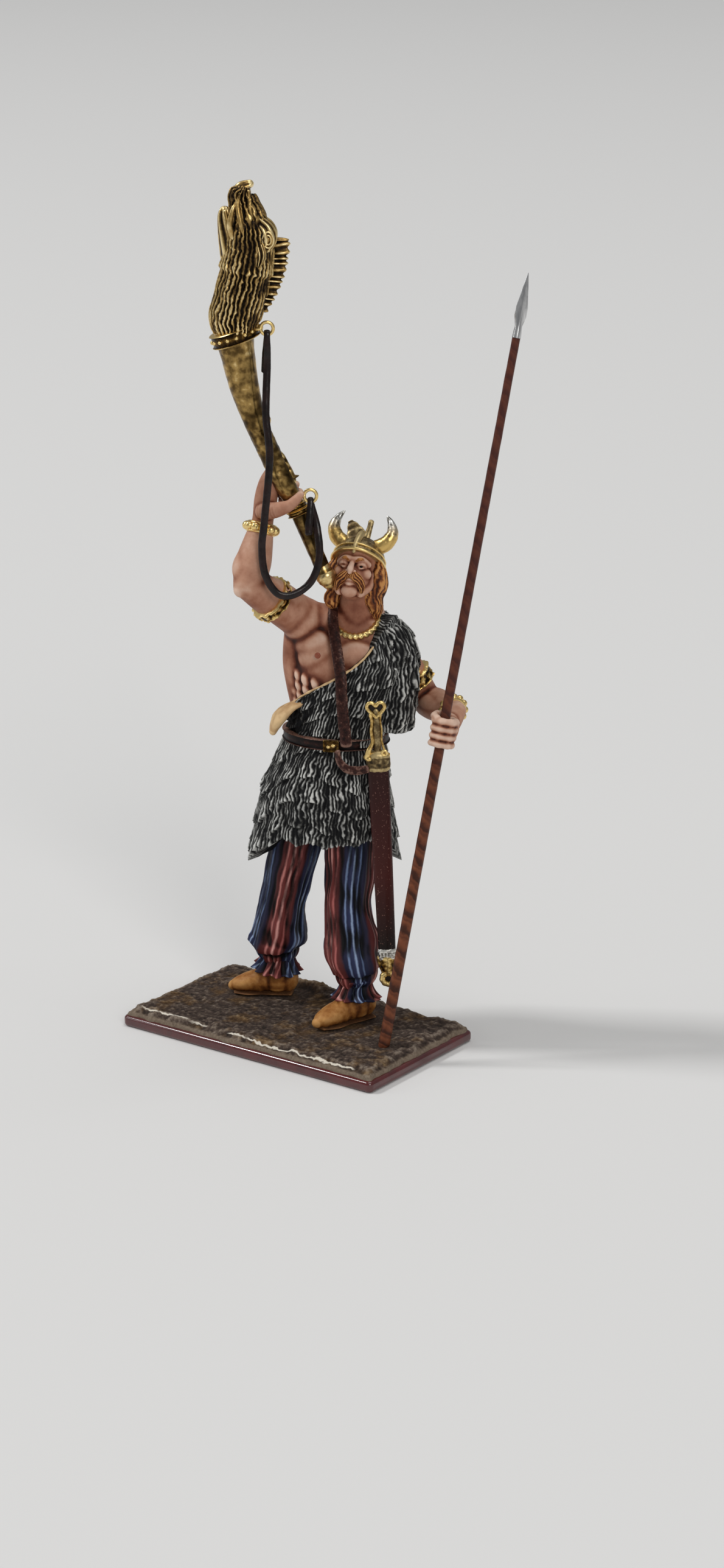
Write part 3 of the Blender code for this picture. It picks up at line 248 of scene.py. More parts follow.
def sweep(bm, line, widths, depths, side, sides=24, rings=24, cap=3, relief=None, even=True, marks=None,
          dome=1.0):
    # a closed round-ended body along a line; side is the way its widths are measured in
    line = [Vector(point) for point in line]
    layers = {name: markOn(bm, name) for name in (marks or {})}
    strandLayer = markOn(bm, "strand")
    if even:
        lengths = [0.0]
        for start, end in zip(line, line[1:]):
            lengths.append(lengths[-1] + (end - start).length)
        stops = [length / lengths[-1] for length in lengths]
    else:
        stops = [index / (len(line) - 1) for index in range(len(line))]
    made = bmesh.ops.create_uvsphere(bm, u_segments=sides, v_segments=rings, radius=1.0)["verts"]
    rows = {}
    for vert in made:
        ring, around = ringAndTurn(vert, rings)
        if ring not in rows:
            shrink, push = 1.0, 0.0
            if ring < cap:
                shrink, push = math.sin(ring / cap * math.pi / 2), -math.cos(ring / cap * math.pi / 2)
            if ring > rings - cap:
                left = (rings - ring) / cap
                shrink, push = math.sin(left * math.pi / 2), math.cos(left * math.pi / 2)
            along = clamp((ring - cap) / (rings - 2 * cap))
            low = max(index for index, stop in enumerate(stops[:-1]) if stop <= along + 1e-9)
            t = (low + (along - stops[low]) / (stops[low + 1] - stops[low])) / (len(line) - 1)
            ahead = (blended(line, min(t + 0.01, 1.0)) - blended(line, max(t - 0.01, 0.0))).normalized()
            way = side(t, ahead) if callable(side) else Vector(side)
            way = (way - ahead * way.dot(ahead)).normalized()
            rows[ring] = (t, blended(line, t), ahead, way, ahead.cross(way), blended(widths, t),
                          blended(depths, t), shrink, push)
        t, centre, ahead, way, deep, width, depth, shrink, push = rows[ring]
        turn = way * math.cos(around), deep * math.sin(around)
        place = centre + turn[0] * width + turn[1] * depth
        extra = relief(t, around, place) if relief else 0.0
        if isinstance(extra, tuple):
            extra, vert[strandLayer] = extra
        vert.co = (centre + turn[0] * ((width + extra) * shrink) + turn[1] * ((depth + extra) * shrink)
                   + ahead * (push * dome * min(width, depth)))
        for name, layer in layers.items():
            vert[layer] = marks[name](t, around)
    return made


def limb(bm, points, radii, sides=28, rings=30, flat=1.0, side=(1, 0.3, 0.1), relief=None, marks=None, cap=3,
         dome=1.0):
    return sweep(bm, points, list(radii), [radius * flat for radius in radii], side, sides, rings, cap,
                 relief, marks=marks, dome=dome)


def ball(bm, centre, radii, ways=None, sides=28, rings=20, relief=None):
    ways = ways or (Vector((1, 0, 0)), Vector((0, 1, 0)), Vector((0, 0, 1)))
    made = bmesh.ops.create_uvsphere(bm, u_segments=sides, v_segments=rings, radius=1.0)["verts"]
    for vert in made:
        reach = vert.co.copy()
        if relief:
            reach *= 1 + relief(reach)
        vert.co = Vector(centre) + sum((way * (reach[i] * radii[i]) for i, way in enumerate(ways)), Vector())
    faceOut(bm, made)
    return made


def faceOut(bm, verts):
    # turns one closed body's faces to the outside
    faces = list({face for vert in verts for face in vert.link_faces})
    volume = 0.0
    for face in faces:
        corners = [vert.co for vert in face.verts]
        for second, third in zip(corners[1:], corners[2:]):
            volume += corners[0].dot(second.cross(third))
    if volume < 0:
        bmesh.ops.reverse_faces(bm, faces=faces)


def hoop(bm, centre, ways, radii, profile, sides=64, relief=None):
    # a band round an oval: profile is a closed row of (out, up) points in mm
    start = [bm.verts.new((1 + out * 0.01, 0, up)) for out, up in profile]
    edges = [bm.edges.new(pair) for pair in zip(start, start[1:] + start[:1])]
    bmesh.ops.spin(bm, geom=start + edges, cent=(0, 0, 0), axis=(0, 0, 1), dvec=(0, 0, 0), angle=math.tau,
                   steps=sides, use_merge=True)
    linked, border = set(start), list(start)
    while border:
        for edge in border.pop().link_edges:
            for vert in edge.verts:
                if vert not in linked:
                    linked.add(vert)
                    border.append(vert)
    for vert in linked:
        around = math.atan2(vert.co.y, vert.co.x)
        out, up = (math.hypot(vert.co.x, vert.co.y) - 1) / 0.01, vert.co.z
        if relief:
            out += relief(around, out, up)
        vert.co = (Vector(centre) + ways[0] * (math.cos(around) * (radii[0] + out))
                   + ways[1] * (math.sin(around) * (radii[1] + out)) + ways[2] * up)
    faceOut(bm, linked)
    return linked


def roundProfile(out, up, points=14):
    return [(math.cos(math.tau * i / points) * out, math.sin(math.tau * i / points) * up)
            for i in range(points)]


def bandProfile(thick, tall, edge):
    # a band with a raised bead along both edges
    inner = [(-thick, tall), (-thick, -tall)]
    outer = [(0, -tall * 0.98), (thick * 0.75, -tall * 0.9), (thick * 0.95, -tall + edge),
             (thick * 0.45, -tall + edge * 1.7)]
    outer += [(thick * 0.5, -tall * 0.3), (thick * 0.55, 0), (thick * 0.5, tall * 0.3)]
    outer += [(thick * 0.45, tall - edge * 1.7), (thick * 0.95, tall - edge), (thick * 0.75, tall * 0.9),
              (0, tall * 0.98)]
    return inner + outer


def strandsOf(around, place, along, count, seed, wave=0.9, length=1.3, gaps=0.42):
    # wavy strands of fur or hair, 0 between them and 1 on their crests
    spot = place + Vector((seed, seed * 1.7, seed * 0.6))
    shift = wave * noise.noise(spot * 0.45) + 0.6 * wave * noise.noise(spot * 1.1)
    lane = around / math.tau * count + shift + 0.3 * noise.noise(spot * 1.9) + 0.22 * noise.noise(spot * 3.7)
    cell = math.floor(lane)
    crest = math.sin(math.pi * (lane - cell)) ** 0.9
    tuft = noise.noise(Vector((cell % count * 3.7, along / length, seed)))
    return crest * (1 - gaps + gaps * soft(tuft, -0.35, 0.1))


def markRaised(mesh, rounds, reach):
    # marks ridges near 1 and hollows near 0, from how each point lies against its smoothed neighbours
    # the paints make hollows darker and ridges paler by this mark: painted shade and highlight
    count = len(mesh.vertices)
    flatCo, flatNormal = np.empty(count * 3), np.empty(count * 3)
    mesh.vertices.foreach_get("co", flatCo)
    mesh.vertex_normals.foreach_get("vector", flatNormal)
    pairs = np.empty(len(mesh.edges) * 2, dtype=np.int64)
    mesh.edges.foreach_get("vertices", pairs)
    one, two = pairs[0::2], pairs[1::2]
    places, normals = flatCo.reshape(-1, 3), flatNormal.reshape(-1, 3)
    near = np.maximum(np.bincount(one, minlength=count) + np.bincount(two, minlength=count), 1)

    def neighbours(values):
        return (np.bincount(one, values[two], count) + np.bincount(two, values[one], count)) / near

    smooth = places.copy()
    for _ in range(rounds):
        smooth = np.stack([neighbours(smooth[:, k]) for k in range(3)], axis=1)
    level = 0.5 - 0.5 * np.clip(((smooth - places) * normals).sum(axis=1) / reach, -1, 1)
    level = 0.5 * level + 0.5 * neighbours(level)
    mesh.attributes.new("raised", "FLOAT", "POINT").data.foreach_set("value", level.astype(np.float32))


def paintShadeAndLight(piece, spots):
    # soft patches of painted highlight above 0 and painted shade below it: (centre, radius, amount) in mm
    count = len(piece.data.vertices)
    flat = np.empty(count * 3)
    piece.data.vertices.foreach_get("co", flat)
    places = flat.reshape(-1, 3) / mm - (0, 0, solesHeight)
    shadeAndLight = np.zeros(count)
    for centre, radius, amount in spots:
        shadeAndLight += amount * np.exp(-((places - np.array(centre)) ** 2).sum(axis=1) / radius ** 2)
    piece.data.attributes.new("shadeAndLight", "FLOAT", "POINT").data.foreach_set("value", shadeAndLight.astype(np.float32))


def finished(name, bm, material, node="figure", fuse=0.0, soften=0, rounds=8, reach=0.08,
             sharp=60):
    # the piece in its place, fused to one skin where asked
    mesh = bpy.data.meshes.new(name)
    bm.to_mesh(mesh)
    bm.free()
    piece = bpy.data.objects.new(name, mesh)
    bpy.context.scene.collection.objects.link(piece)
    if fuse:
        skin = piece.modifiers.new("fuse", "REMESH")
        skin.mode, skin.voxel_size, skin.adaptivity = "VOXEL", fuse, 0.0
    if soften:
        ease = piece.modifiers.new("soften", "SMOOTH")
        ease.factor, ease.iterations = 0.5, soften
    if fuse or soften:
        bpy.context.view_layer.update()
        fused = bpy.data.meshes.new_from_object(piece.evaluated_get(bpy.context.evaluated_depsgraph_get()))
        piece.modifiers.clear()
        piece.data = fused
    mesh = piece.data
    mesh.name = name
    markRaised(mesh, rounds, reach)
    mesh.transform(Matrix.Scale(mm, 4) @ Matrix.Translation((0, 0, solesHeight)))
    mesh.materials.clear()
    mesh.materials.append(material)
    mesh.shade_smooth()
    mesh.set_sharp_from_angle(angle=math.radians(sharp))
    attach(piece, "root")
    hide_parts(node)
    print(name, sum(len(face.vertices) - 2 for face in mesh.polygons), "triangles")
    return piece


gold = washedPaint("gold paint", ((0.27, (0.016, 0.008, 0.003)), (0.47, (0.10, 0.052, 0.013)),
                                  (0.64, (0.36, 0.21, 0.05)), (0.9, (0.90, 0.66, 0.27))), 0.3, 0.95,
                   grain=0.3, jitter=0.8)
bronze = washedPaint("bronze paint", ((0.2, (0.010, 0.007, 0.004)), (0.48, (0.048, 0.032, 0.014)),
                                      (0.68, (0.15, 0.10, 0.042)), (0.95, (0.56, 0.43, 0.21))), 0.42, 0.75,
                     grain=0.6, jitter=1.0)
# flesh with a painted top light and soft patches of painted shade and painted highlight
skinPaint = washedPaint("flesh paint",
                        ((0.12, (0.038, 0.010, 0.006)), (0.34, (0.16, 0.045, 0.024)),
                         (0.52, (0.34, 0.14, 0.083)), (0.7, (0.54, 0.29, 0.195)), (0.95, (0.77, 0.54, 0.42))),
                        0.5, grain=0.9, jitter=0.25, relief=0.15, lift=0.08, shadeAndLight=True)
furPaint = strandPaint("dry-brushed fur", ((0.25, (0.004, 0.004, 0.005)), (0.43, (0.012, 0.012, 0.012)),
                                           (0.6, (0.085, 0.085, 0.08)), (0.76, (0.34, 0.34, 0.325)),
                                           (0.93, (0.66, 0.66, 0.63))), 0.6, 0.0, 0.35)
hairStops = ((0.2, (0.022, 0.007, 0.004)), (0.45, (0.085, 0.022, 0.008)), (0.68, (0.27, 0.085, 0.022)),
             (0.9, (0.60, 0.28, 0.09)))
hairPaint = washedPaint("eyebrow hair", hairStops, 0.5, grain=0.25, jitter=0.25)
darkLeather = washedPaint("dark leather", ((0.35, (0.004, 0.002, 0.002)), (0.58, (0.018, 0.006, 0.005)),
                                           (0.8, (0.048, 0.016, 0.012)), (1.0, (0.22, 0.12, 0.09))), 0.42,
                          grain=0.25, jitter=0.8)
# tan leather with a painted top light
tanLeather = washedPaint("tan leather", ((0.25, (0.035, 0.010, 0.004)), (0.48, (0.16, 0.052, 0.013)),
                                         (0.66, (0.34, 0.135, 0.032)), (0.92, (0.58, 0.30, 0.10))), 0.5,
                         grain=0.8, jitter=0.6, lift=0.12)
hidePaint = washedPaint("inside of the hide", ((0.25, (0.13, 0.06, 0.025)), (0.5, (0.47, 0.27, 0.12)),
                                               (0.78, (0.74, 0.52, 0.28))), 0.6, grain=0.6, jitter=0.3)
hairStrandPaint = strandPaint("ginger hair", hairStops, 0.5, 0.0, 0.35)
print("paints ready")


# Plinth and ground

plinthLook = {"length": 36.0, "width": 19.8, "thickness": 1.3, "corner": 0.7, "edge": 0.42,
              "colour": (0.105, 0.012, 0.013)}


def makePlinth():
    size = plinthLook
    bm = bmesh.new()
    made = bmesh.ops.create_cube(bm, size=1.0)["verts"]
    bmesh.ops.scale(bm, vec=(size["length"], size["width"], size["thickness"]), verts=made)
    bmesh.ops.translate(bm, vec=(0, 0, size["thickness"] / 2 - solesHeight), verts=made)
    posts = [edge for edge in bm.edges if abs(edge.verts[0].co.z - edge.verts[1].co.z) > 0.5]
    bmesh.ops.bevel(bm, geom=posts, offset=size["corner"], segments=8, profile=0.5, affect="EDGES",
                    material=-1)
    rims = [edge for edge in bm.edges
            if abs(edge.verts[0].co.z - edge.verts[1].co.z) < 0.01 and edge.calc_face_angle(0) > 1]
    bmesh.ops.bevel(bm, geom=rims, offset=size["edge"], segments=7, profile=0.5, affect="EDGES", material=-1)
    bmesh.ops.recalc_face_normals(bm, faces=bm.faces)
    material, tree, shader = newPaint("lacquered plinth", 0.2, 0.0, 0.7)
    cloud = grainOf(tree, 2.5)
    dark = tuple(0.62 * c for c in size["colour"])
    colourBy(tree, shader, rampOf(tree, cloud, ((0.35, dark), (0.65, size["colour"]))))
    roughen(tree, shader, grainOf(tree, 0.8), 0.12, 0.03)
    finished("lacquered_base", bm, material, "plinth", sharp=40)


groundLook = {"margin": 0.42, "level": 2.18, "lump": 0.9}
shoePrints = {"right": ((-4.2, 5.6), (-11.0, 1.5)), "left": ((7.2, 5.3), (4.7, -2.7))}   # heel and toe
spearFoot = (13.9, -1.8)


def flatness(x, y):
    # 0 under the shoes and the spear, growing to 1 away from them
    spot = Vector((x, y))
    gaps = [(spot - Vector(spearFoot)).length - 0.7]
    for heel, toe in shoePrints.values():
        heel, toe = Vector(heel), Vector(toe)
        share = clamp((spot - heel).dot(toe - heel) / (toe - heel).length_squared)
        gaps.append((spot - heel.lerp(toe, share)).length - 1.7)
    return soft(min(gaps), 0.0, 1.2)


def makeGround():
    look = groundLook
    long, wide = plinthLook["length"] - 2 * look["margin"], plinthLook["width"] - 2 * look["margin"]
    base = plinthLook["thickness"] - 0.02
    bm = bmesh.new()
    bmesh.ops.create_grid(bm, x_segments=210, y_segments=116, size=0.5)
    edgeLayer = markOn(bm, "edge")
    for vert in bm.verts:
        x, y = vert.co.x * long, vert.co.y * wide
        gap = min((0.5 - abs(vert.co.x)) * long, (0.5 - abs(vert.co.y)) * wide)
        rough = noiseAt(x * 0.3, y * 0.38, 3.1) + 0.5 * noiseAt(x * 0.8, y * 1.0, 7.0)
        lump = math.exp(-((x / 36 + 0.1) / 0.25) ** 2 - ((y / 19.8 - 0.44) / 0.09) ** 2)
        flat = flatness(x, y)
        grit = 0.09 * noiseAt(x * 2.6, y * 2.6, 1.0) + 0.06 * noiseAt(x * 5.5, y * 5.5, 2.0)
        wornEdge = 0.55 + 0.5 * noiseAt(x * 0.5, y * 0.5, 9.0) + 0.25 * noiseAt(x * 1.7, y * 1.7, 4.0)
        rim = soft(gap, wornEdge * 0.25, wornEdge * 1.5 + 0.4)
        height = look["level"] + flat * (0.28 * rough + 0.62 * look["lump"] * lump
                                         + 0.12) + grit * (0.4 + 0.6 * flat)
        dust = base + 0.42 + 0.5 * grit + 0.05 * noiseAt(x * 1.2, y * 1.2, 5.0)
        low = dust if gap > 0.02 else base
        x += 0.25 * noiseAt(x * 0.7, y * 0.7, 0.4) * (1 - soft(gap, 0, 2))
        y += 0.25 * noiseAt(x * 0.7, y * 0.7, 6.4) * (1 - soft(gap, 0, 2))
        vert.co = Vector((x, y, low + (height - low) * rim - solesHeight))
        vert[edgeLayer] = rim
    rim = [edge for edge in bm.edges if edge.is_boundary]
    grown = bmesh.ops.extrude_edge_only(bm, edges=rim)["geom"]
    for piece in grown:
        if isinstance(piece, bmesh.types.BMVert):
            piece.co.z = base - 0.1 - solesHeight
            piece[edgeLayer] = 0.0
    bmesh.ops.holes_fill(bm, edges=[edge for edge in bm.edges if edge.is_boundary], sides=0)
    bmesh.ops.recalc_face_normals(bm, faces=bm.faces)
    material, tree, shader = newPaint("painted ground", 0.9)
    patch = grainOf(tree, 3.2, 4.0)
    fine = grainOf(tree, 0.32, 4.0)
    # by the raised mark the ground is darker in the hollows and paler on the lumps, its dry brush together
    # with painted shade and highlight
    raised = sums(tree, "MULTIPLY", sums(tree, "ADD", readMark(tree, "raised"), 0.5), 0.5)
    level = sums(tree, "ADD", raised, drift(tree, fine, 0.6))
    earth = rampOf(tree, level, ((0.3, (0.022, 0.016, 0.013)), (0.5, (0.058, 0.040, 0.032)),
                                 (0.62, (0.115, 0.085, 0.066)), (0.8, (0.26, 0.21, 0.165))))
    ochre = rampOf(tree, level,
                   ((0.3, (0.04, 0.021, 0.010)), (0.5, (0.105, 0.058, 0.024)), (0.75, (0.25, 0.16, 0.075))))
    soil = mixed(tree, rampOf(tree, patch, ((0.5, 0.0), (0.66, 0.85))), earth, ochre)
    dust = rampOf(tree, level,
                  ((0.3, (0.030, 0.021, 0.015)), (0.52, (0.085, 0.060, 0.043)), (0.8, (0.22, 0.17, 0.125))))
    rimShare = rampOf(tree, readMark(tree, "edge"), ((0.03, 1.0), (0.3, 0.0)))
    coat = mixed(tree, rimShare, soil, dust)
    # a broken cream line where the modelled ground ends, a little inside the front edge
    place = placeParts(tree)
    slant = sums(tree, "ADD", sums(tree, "MULTIPLY", place["Y"], 1000.0),
                 sums(tree, "MULTIPLY", place["X"], 12.0))
    line = sums(tree, "ADD", slant, drift(tree, grainOf(tree, 3.5, 4.0), 1.6))
    strip = rampOf(tree, sums(tree, "ADD", sums(tree, "MULTIPLY", line, 0.1), 1.34),
                   ((0.462, 0.0), (0.468, 1.0), (0.48, 1.0), (0.486, 0.0)))
    ends = rampOf(tree, sums(tree, "ADD", sums(tree, "MULTIPLY", place["X"], 20.0), 0.5),
                  ((0.16, 0.0), (0.18, 1.0), (0.79, 1.0), (0.8, 0.0)))
    breaks = rampOf(tree, grainOf(tree, 4.0, 3.0, (0.6, 1, 1)), ((0.43, 0.0), (0.47, 1.0)))
    share = sums(tree, "MULTIPLY", strip, sums(tree, "MULTIPLY", breaks, ends))
    colourBy(tree, shader, mixed(tree, share, coat, (0.74, 0.68, 0.58)))
    roughen(tree, shader, fine, 0.6, 0.1)
    finished("modelled_ground", bm, material, "groundwork", rounds=6, reach=0.07, sharp=180)


makePlinth()
makeGround()
print("plinth and ground done")


# Skin

trunkLook = {"widths": (5.6, 5.0, 5.2, 5.9, 4.0), "depths": (4.2, 3.6, 3.8, 4.2, 2.6),
             "ribRows": 4, "ribSlips": 4}
trunkLine = [vec(pose[key]) for key in ("pelvis", "waist", "ribs", "breast", "collar")]


def trunkSide(t, ahead=None):
    return leftward(pose["pelvisTurn"] + (pose["chestTurn"] - pose["pelvisTurn"]) * min(1.0, t * 1.2))


def onTrunk(t, turn, lift=0.0):
    # a point on the bare trunk, t up from the pelvis and turn round it in degrees, front at -90
    way, angle = trunkSide(t), math.radians(turn)
    deep = Vector((0, 0, 1)).cross(way)
    width, depth = blended(trunkLook["widths"], t), blended(trunkLook["depths"], t)
    return (blended(trunkLine, t) + way * (math.cos(angle) * (width + lift))
            + deep * (math.sin(angle) * (depth + lift)))


def makeChest():
    bm = bmesh.new()
    sweep(bm, trunkLine, trunkLook["widths"], trunkLook["depths"], trunkSide, 64, 50)
    limb(bm, ((3.8, 7.3, 44.0), (4.2, 7.1, 47.0), (4.6, 7.0, 50.4)), (2.6, 2.2, 2.2))
    # collar bone
    limb(bm, ((4.2, 4.5, 44.9), (2.6, 3.95, 45.4), (0.8, 4.0, 46.1)), (0.3, 0.3, 0.4))
    # breast muscles, and the muscle that fills the armpit
    ball(bm, (1.7, 3.35, 42.4), (2.7, 1.45, 2.5), upright(pose["chestTurn"] - 10))
    ball(bm, (0.9, 3.1, 43.6), (2.4, 1.3, 2.0), upright(pose["chestTurn"] - 20))
    ball(bm, (5.6, 4.7, 42.2), (2.5, 1.35, 2.3), upright(pose["chestTurn"] + 8))
    limb(bm, ((-1.5, 4.3, 35.4), (-1.9, 4.3, 40.6), (-1.4, 4.0, 44.6)), (1.4, 2.0, 2.0))
    limb(bm, ((5.0, 8.2, 46.6), (1.6, 5.6, 46.0), (-1.0, 4.0, 46.2)), (1.8, 1.9, 2.2))
    limb(bm, ((3.6, 7.6, 46.0), (5.6, 8.5, 44.3), (7.2, 9.4, 42.9)), (1.5, 1.7, 2.0))
    # ribs with the slips of muscle over them, and the upper belly
    ribs = []
    for row in range(trunkLook["ribRows"]):
        for column in range(trunkLook["ribSlips"]):
            t, spot = 0.73 - 0.064 * row - 0.016 * column, -171 + 17 * column + 4 * row
            start, end = onTrunk(t, spot), onTrunk(t - 0.036, spot + 6)
            middle = start.lerp(end, 0.5)
            limb(bm, (start, middle, end), (0.36, 0.46, 0.36), 16, 14)
            ribs.append((middle + facing(pose["chestTurn"] - 25) * 0.35, 0.6, 0.27))
    for row in range(3):
        for side in (-1, 1):
            ball(bm, onTrunk(0.6 - 0.1 * row, -95 + side * 12, -0.1), (1.1, 0.6, 1.0), upright(20))
    shoulder, elbow, wrist = vec(pose["rightShoulder"]), vec(pose["rightElbow"]), vec(pose["rightWrist"])
    upper, lower = elbow - shoulder, wrist - elbow
    limb(bm, (shoulder, shoulder + upper * 0.4, shoulder + upper * 0.75, elbow), (2.5, 2.3, 2.05, 1.75), 40,
         40)
    limb(bm, (elbow, elbow + lower * 0.35, elbow + lower * 0.7, wrist), (1.75, 2.0, 1.7, 1.3), 40, 40)
    limb(bm, (elbow + vec(0.2, -0.5, 0.2), elbow + lower * 0.3 + vec(-0.5, -0.6, 0),
              elbow + lower * 0.75 + vec(-0.2, -0.3, 0)), (1.0, 1.5, 0.9))
    ball(bm, elbow + vec(-0.3, -0.9, -0.5), (0.9, 0.9, 0.9))
    ball(bm, (-0.9, 3.6, 46.2), (2.6, 2.7, 2.5))
    limb(bm, (shoulder + vec(0.6, -0.6, 1.0), shoulder + upper * 0.5 + vec(0.5, -0.2, 1.0),
              elbow + vec(0.4, 0.4, 0.8)), (1.2, 1.6, 0.8))
    chest = finished("bare_chest_and_right_arm", bm, skinPaint, fuse=0.2, soften=3, rounds=10, reach=0.12)
    # painted shade under and beside the breast, in the armpit, under the jaw and on the raised right arm, and
    # a painted highlight on the breast; the pale rib spots are painted highlights on the slips of muscle
    shade = [((-0.8, 2.6, 38.2), 2.6, -0.22), ((-1.8, 2.6, 42.6), 1.6, -0.2), ((0.0, 2.4, 40.1), 0.9, -0.16),
             ((1.6, 1.7, 39.7), 0.9, -0.16), ((3.2, 1.6, 39.9), 0.9, -0.14), ((2.0, 1.9, 42.9), 1.9, 0.14),
             ((5.4, 4.7, 48.2), 1.6, -0.2), ((4.6, 3.4, 41.6), 1.5, -0.12), ((-3.0, -2.6, 49.4), 1.6, -0.15),
             ((-1.6, -0.6, 45.6), 1.6, -0.15)]
    paintShadeAndLight(chest, ribs + shade)
    bm = bmesh.new()
    ways = (across, Vector((0.6, -0.8, 0)), Vector((0, 0, 1)))
    centre = vec(2.62, 1.62, 43.0)
    ball(bm, centre, (0.34, 0.16, 0.36), ways, 20, 12)
    ball(bm, centre + vec(0.05, -0.1, 0.02), (0.13, 0.16, 0.13), ways, 14, 10)
    nipplePaint = washedPaint("nipple paint", ((0.2, (0.22, 0.05, 0.03)), (0.9, (0.33, 0.10, 0.06))), 0.5,
                              jitter=0.1)
    finished("nipple", bm, nipplePaint)


def curl(bm, centre, axis, reach, radius, start, angles, steps=9, lean=0.0):
    # a finger bent round an axis, with its knuckles
    axis = axis.normalized()
    first = (start - axis * start.dot(axis)).normalized()
    second = axis.cross(first)
    points, radii = [], []
    for step in range(steps):
        angle = angles[0] + (angles[1] - angles[0]) * step / (steps - 1)
        points.append(centre + axis * (lean * step / steps) + first * (math.cos(angle) * reach)
                      + second * (math.sin(angle) * reach))
        radii.append(radius * (1.04 - 0.2 * step / steps) * (1 + 0.07 * math.cos(step * math.pi)))
    limb(bm, points, radii, sides=20, rings=36, side=axis)


hornLine = [vec(p) for p in ((3.0, 3.0, 51.7), (0.2, 1.5, 59.4), (-1.1, 0.7, 62.6), (-3.5, -0.7, 68.8),
                             (-4.6, -1.4, 73.0), (-5.3, -1.75, 77.2), (-5.5, -1.9, 78.5))]
hornBack = Vector((0.80, 0.60, -0.01)).normalized()
hornSide = Vector((0.60, -0.80, 0.0))


def makeHornHand():
    bm = bmesh.new()
    wrist = vec(pose["rightWrist"])
    limb(bm, (wrist + vec(0, -0.3, -1.2), wrist, (-2.9, -0.7, 58.6), (-2.8, -0.3, 60.6), (-2.75, 0.2, 62.4),
              (-2.6, 0.5, 63.7)), (1.3, 1.25, 1.2, 1.3, 1.1, 0.62), 32, 36, 0.9)
    limb(bm, ((-2.4, -1.2, 59.4), (-0.9, -1.1, 59.7), (0.4, -0.35, 60.2), (0.95, 0.2, 60.8),
              (1.25, 0.75, 61.4)), (1.0, 0.9, 0.66, 0.56, 0.42), 24, 30)
    tube = hornLine[2] - hornLine[1]
    for index in range(4):
        curl(bm, hornLine[1] + tube * (0.42 + 0.27 * index), tube, 1.5, 0.47, Vector((-1, -0.2, 0)),
             (-0.25, -1.8), 7)
    finished("horn_hand", bm, skinPaint, fuse=0.09, soften=2, rounds=10, reach=0.09)


spearLean = Vector((0.0630, 0.2312, 0.9708)).normalized()


def spearPoint(height):
    return vec(*spearFoot, 0) + spearLean * (height / spearLean.z)


def makeLeftArm():
    bm = bmesh.new()
    shoulder, elbow, wrist = vec(pose["leftShoulder"]), vec(pose["leftElbow"]), vec(pose["leftWrist"])
    upper, lower = elbow - shoulder, wrist - elbow
    limb(bm, (shoulder, shoulder + upper * 0.5, elbow), (2.05, 1.85, 1.65), 36, 36)
    limb(bm, (elbow, elbow + lower * 0.3, elbow + lower * 0.7, wrist), (1.75, 1.9, 1.55, 1.15), 36, 36)
    limb(bm, (elbow + vec(-0.2, -0.7, 0.5), elbow + lower * 0.4 + vec(-0.3, -0.7, 0.3),
              wrist + vec(-0.2, -0.3, 0)), (1.1, 1.2, 0.7))
    grip = spearPoint(35.2)
    palmWay = wrist - grip
    palmWay.z = 0
    palmWay.normalize()
    palm = grip + palmWay * 1.6
    ball(bm, palm, (0.95, 1.35, 1.75), (palmWay, spearLean.cross(palmWay), spearLean))
    limb(bm, (wrist, wrist.lerp(palm, 0.6), palm), (1.15, 1.2, 1.1), 30, 24)
    for index in range(4):
        curl(bm, spearPoint(35.2 + 1.25 - 0.84 * index), spearLean, 1.22, 0.47 - 0.02 * index, palmWay,
             (-0.4, -3.9))
    curl(bm, spearPoint(37.0), spearLean, 1.22, 0.45, palmWay, (0.5, 2.7), 7, -0.35)
    finished("left_arm_and_fist", bm, skinPaint, fuse=0.13, soften=2, rounds=8, reach=0.075)


def headWays():
    face, left, up = facing(pose["headTurn"]), leftward(pose["headTurn"]), Vector((0, 0, 1))
    tilt, roll = math.radians(pose["headTilt"]), math.radians(pose["headRoll"])
    ahead = face * math.cos(tilt) + up * math.sin(tilt)
    top = up * math.cos(tilt) - face * math.sin(tilt)
    return left * math.cos(roll) - top * math.sin(roll), ahead, top * math.cos(roll) + left * math.sin(roll)


def onHead(left, ahead, up):
    ways = headWays()
    return vec(pose["head"]) + ways[0] * left + ways[1] * ahead + ways[2] * up


def headLine(*points):
    return [onHead(*point) for point in points]


faceLook = {"eyeGap": 0.98, "eyeUp": 0.15, "eyeSize": 0.38}


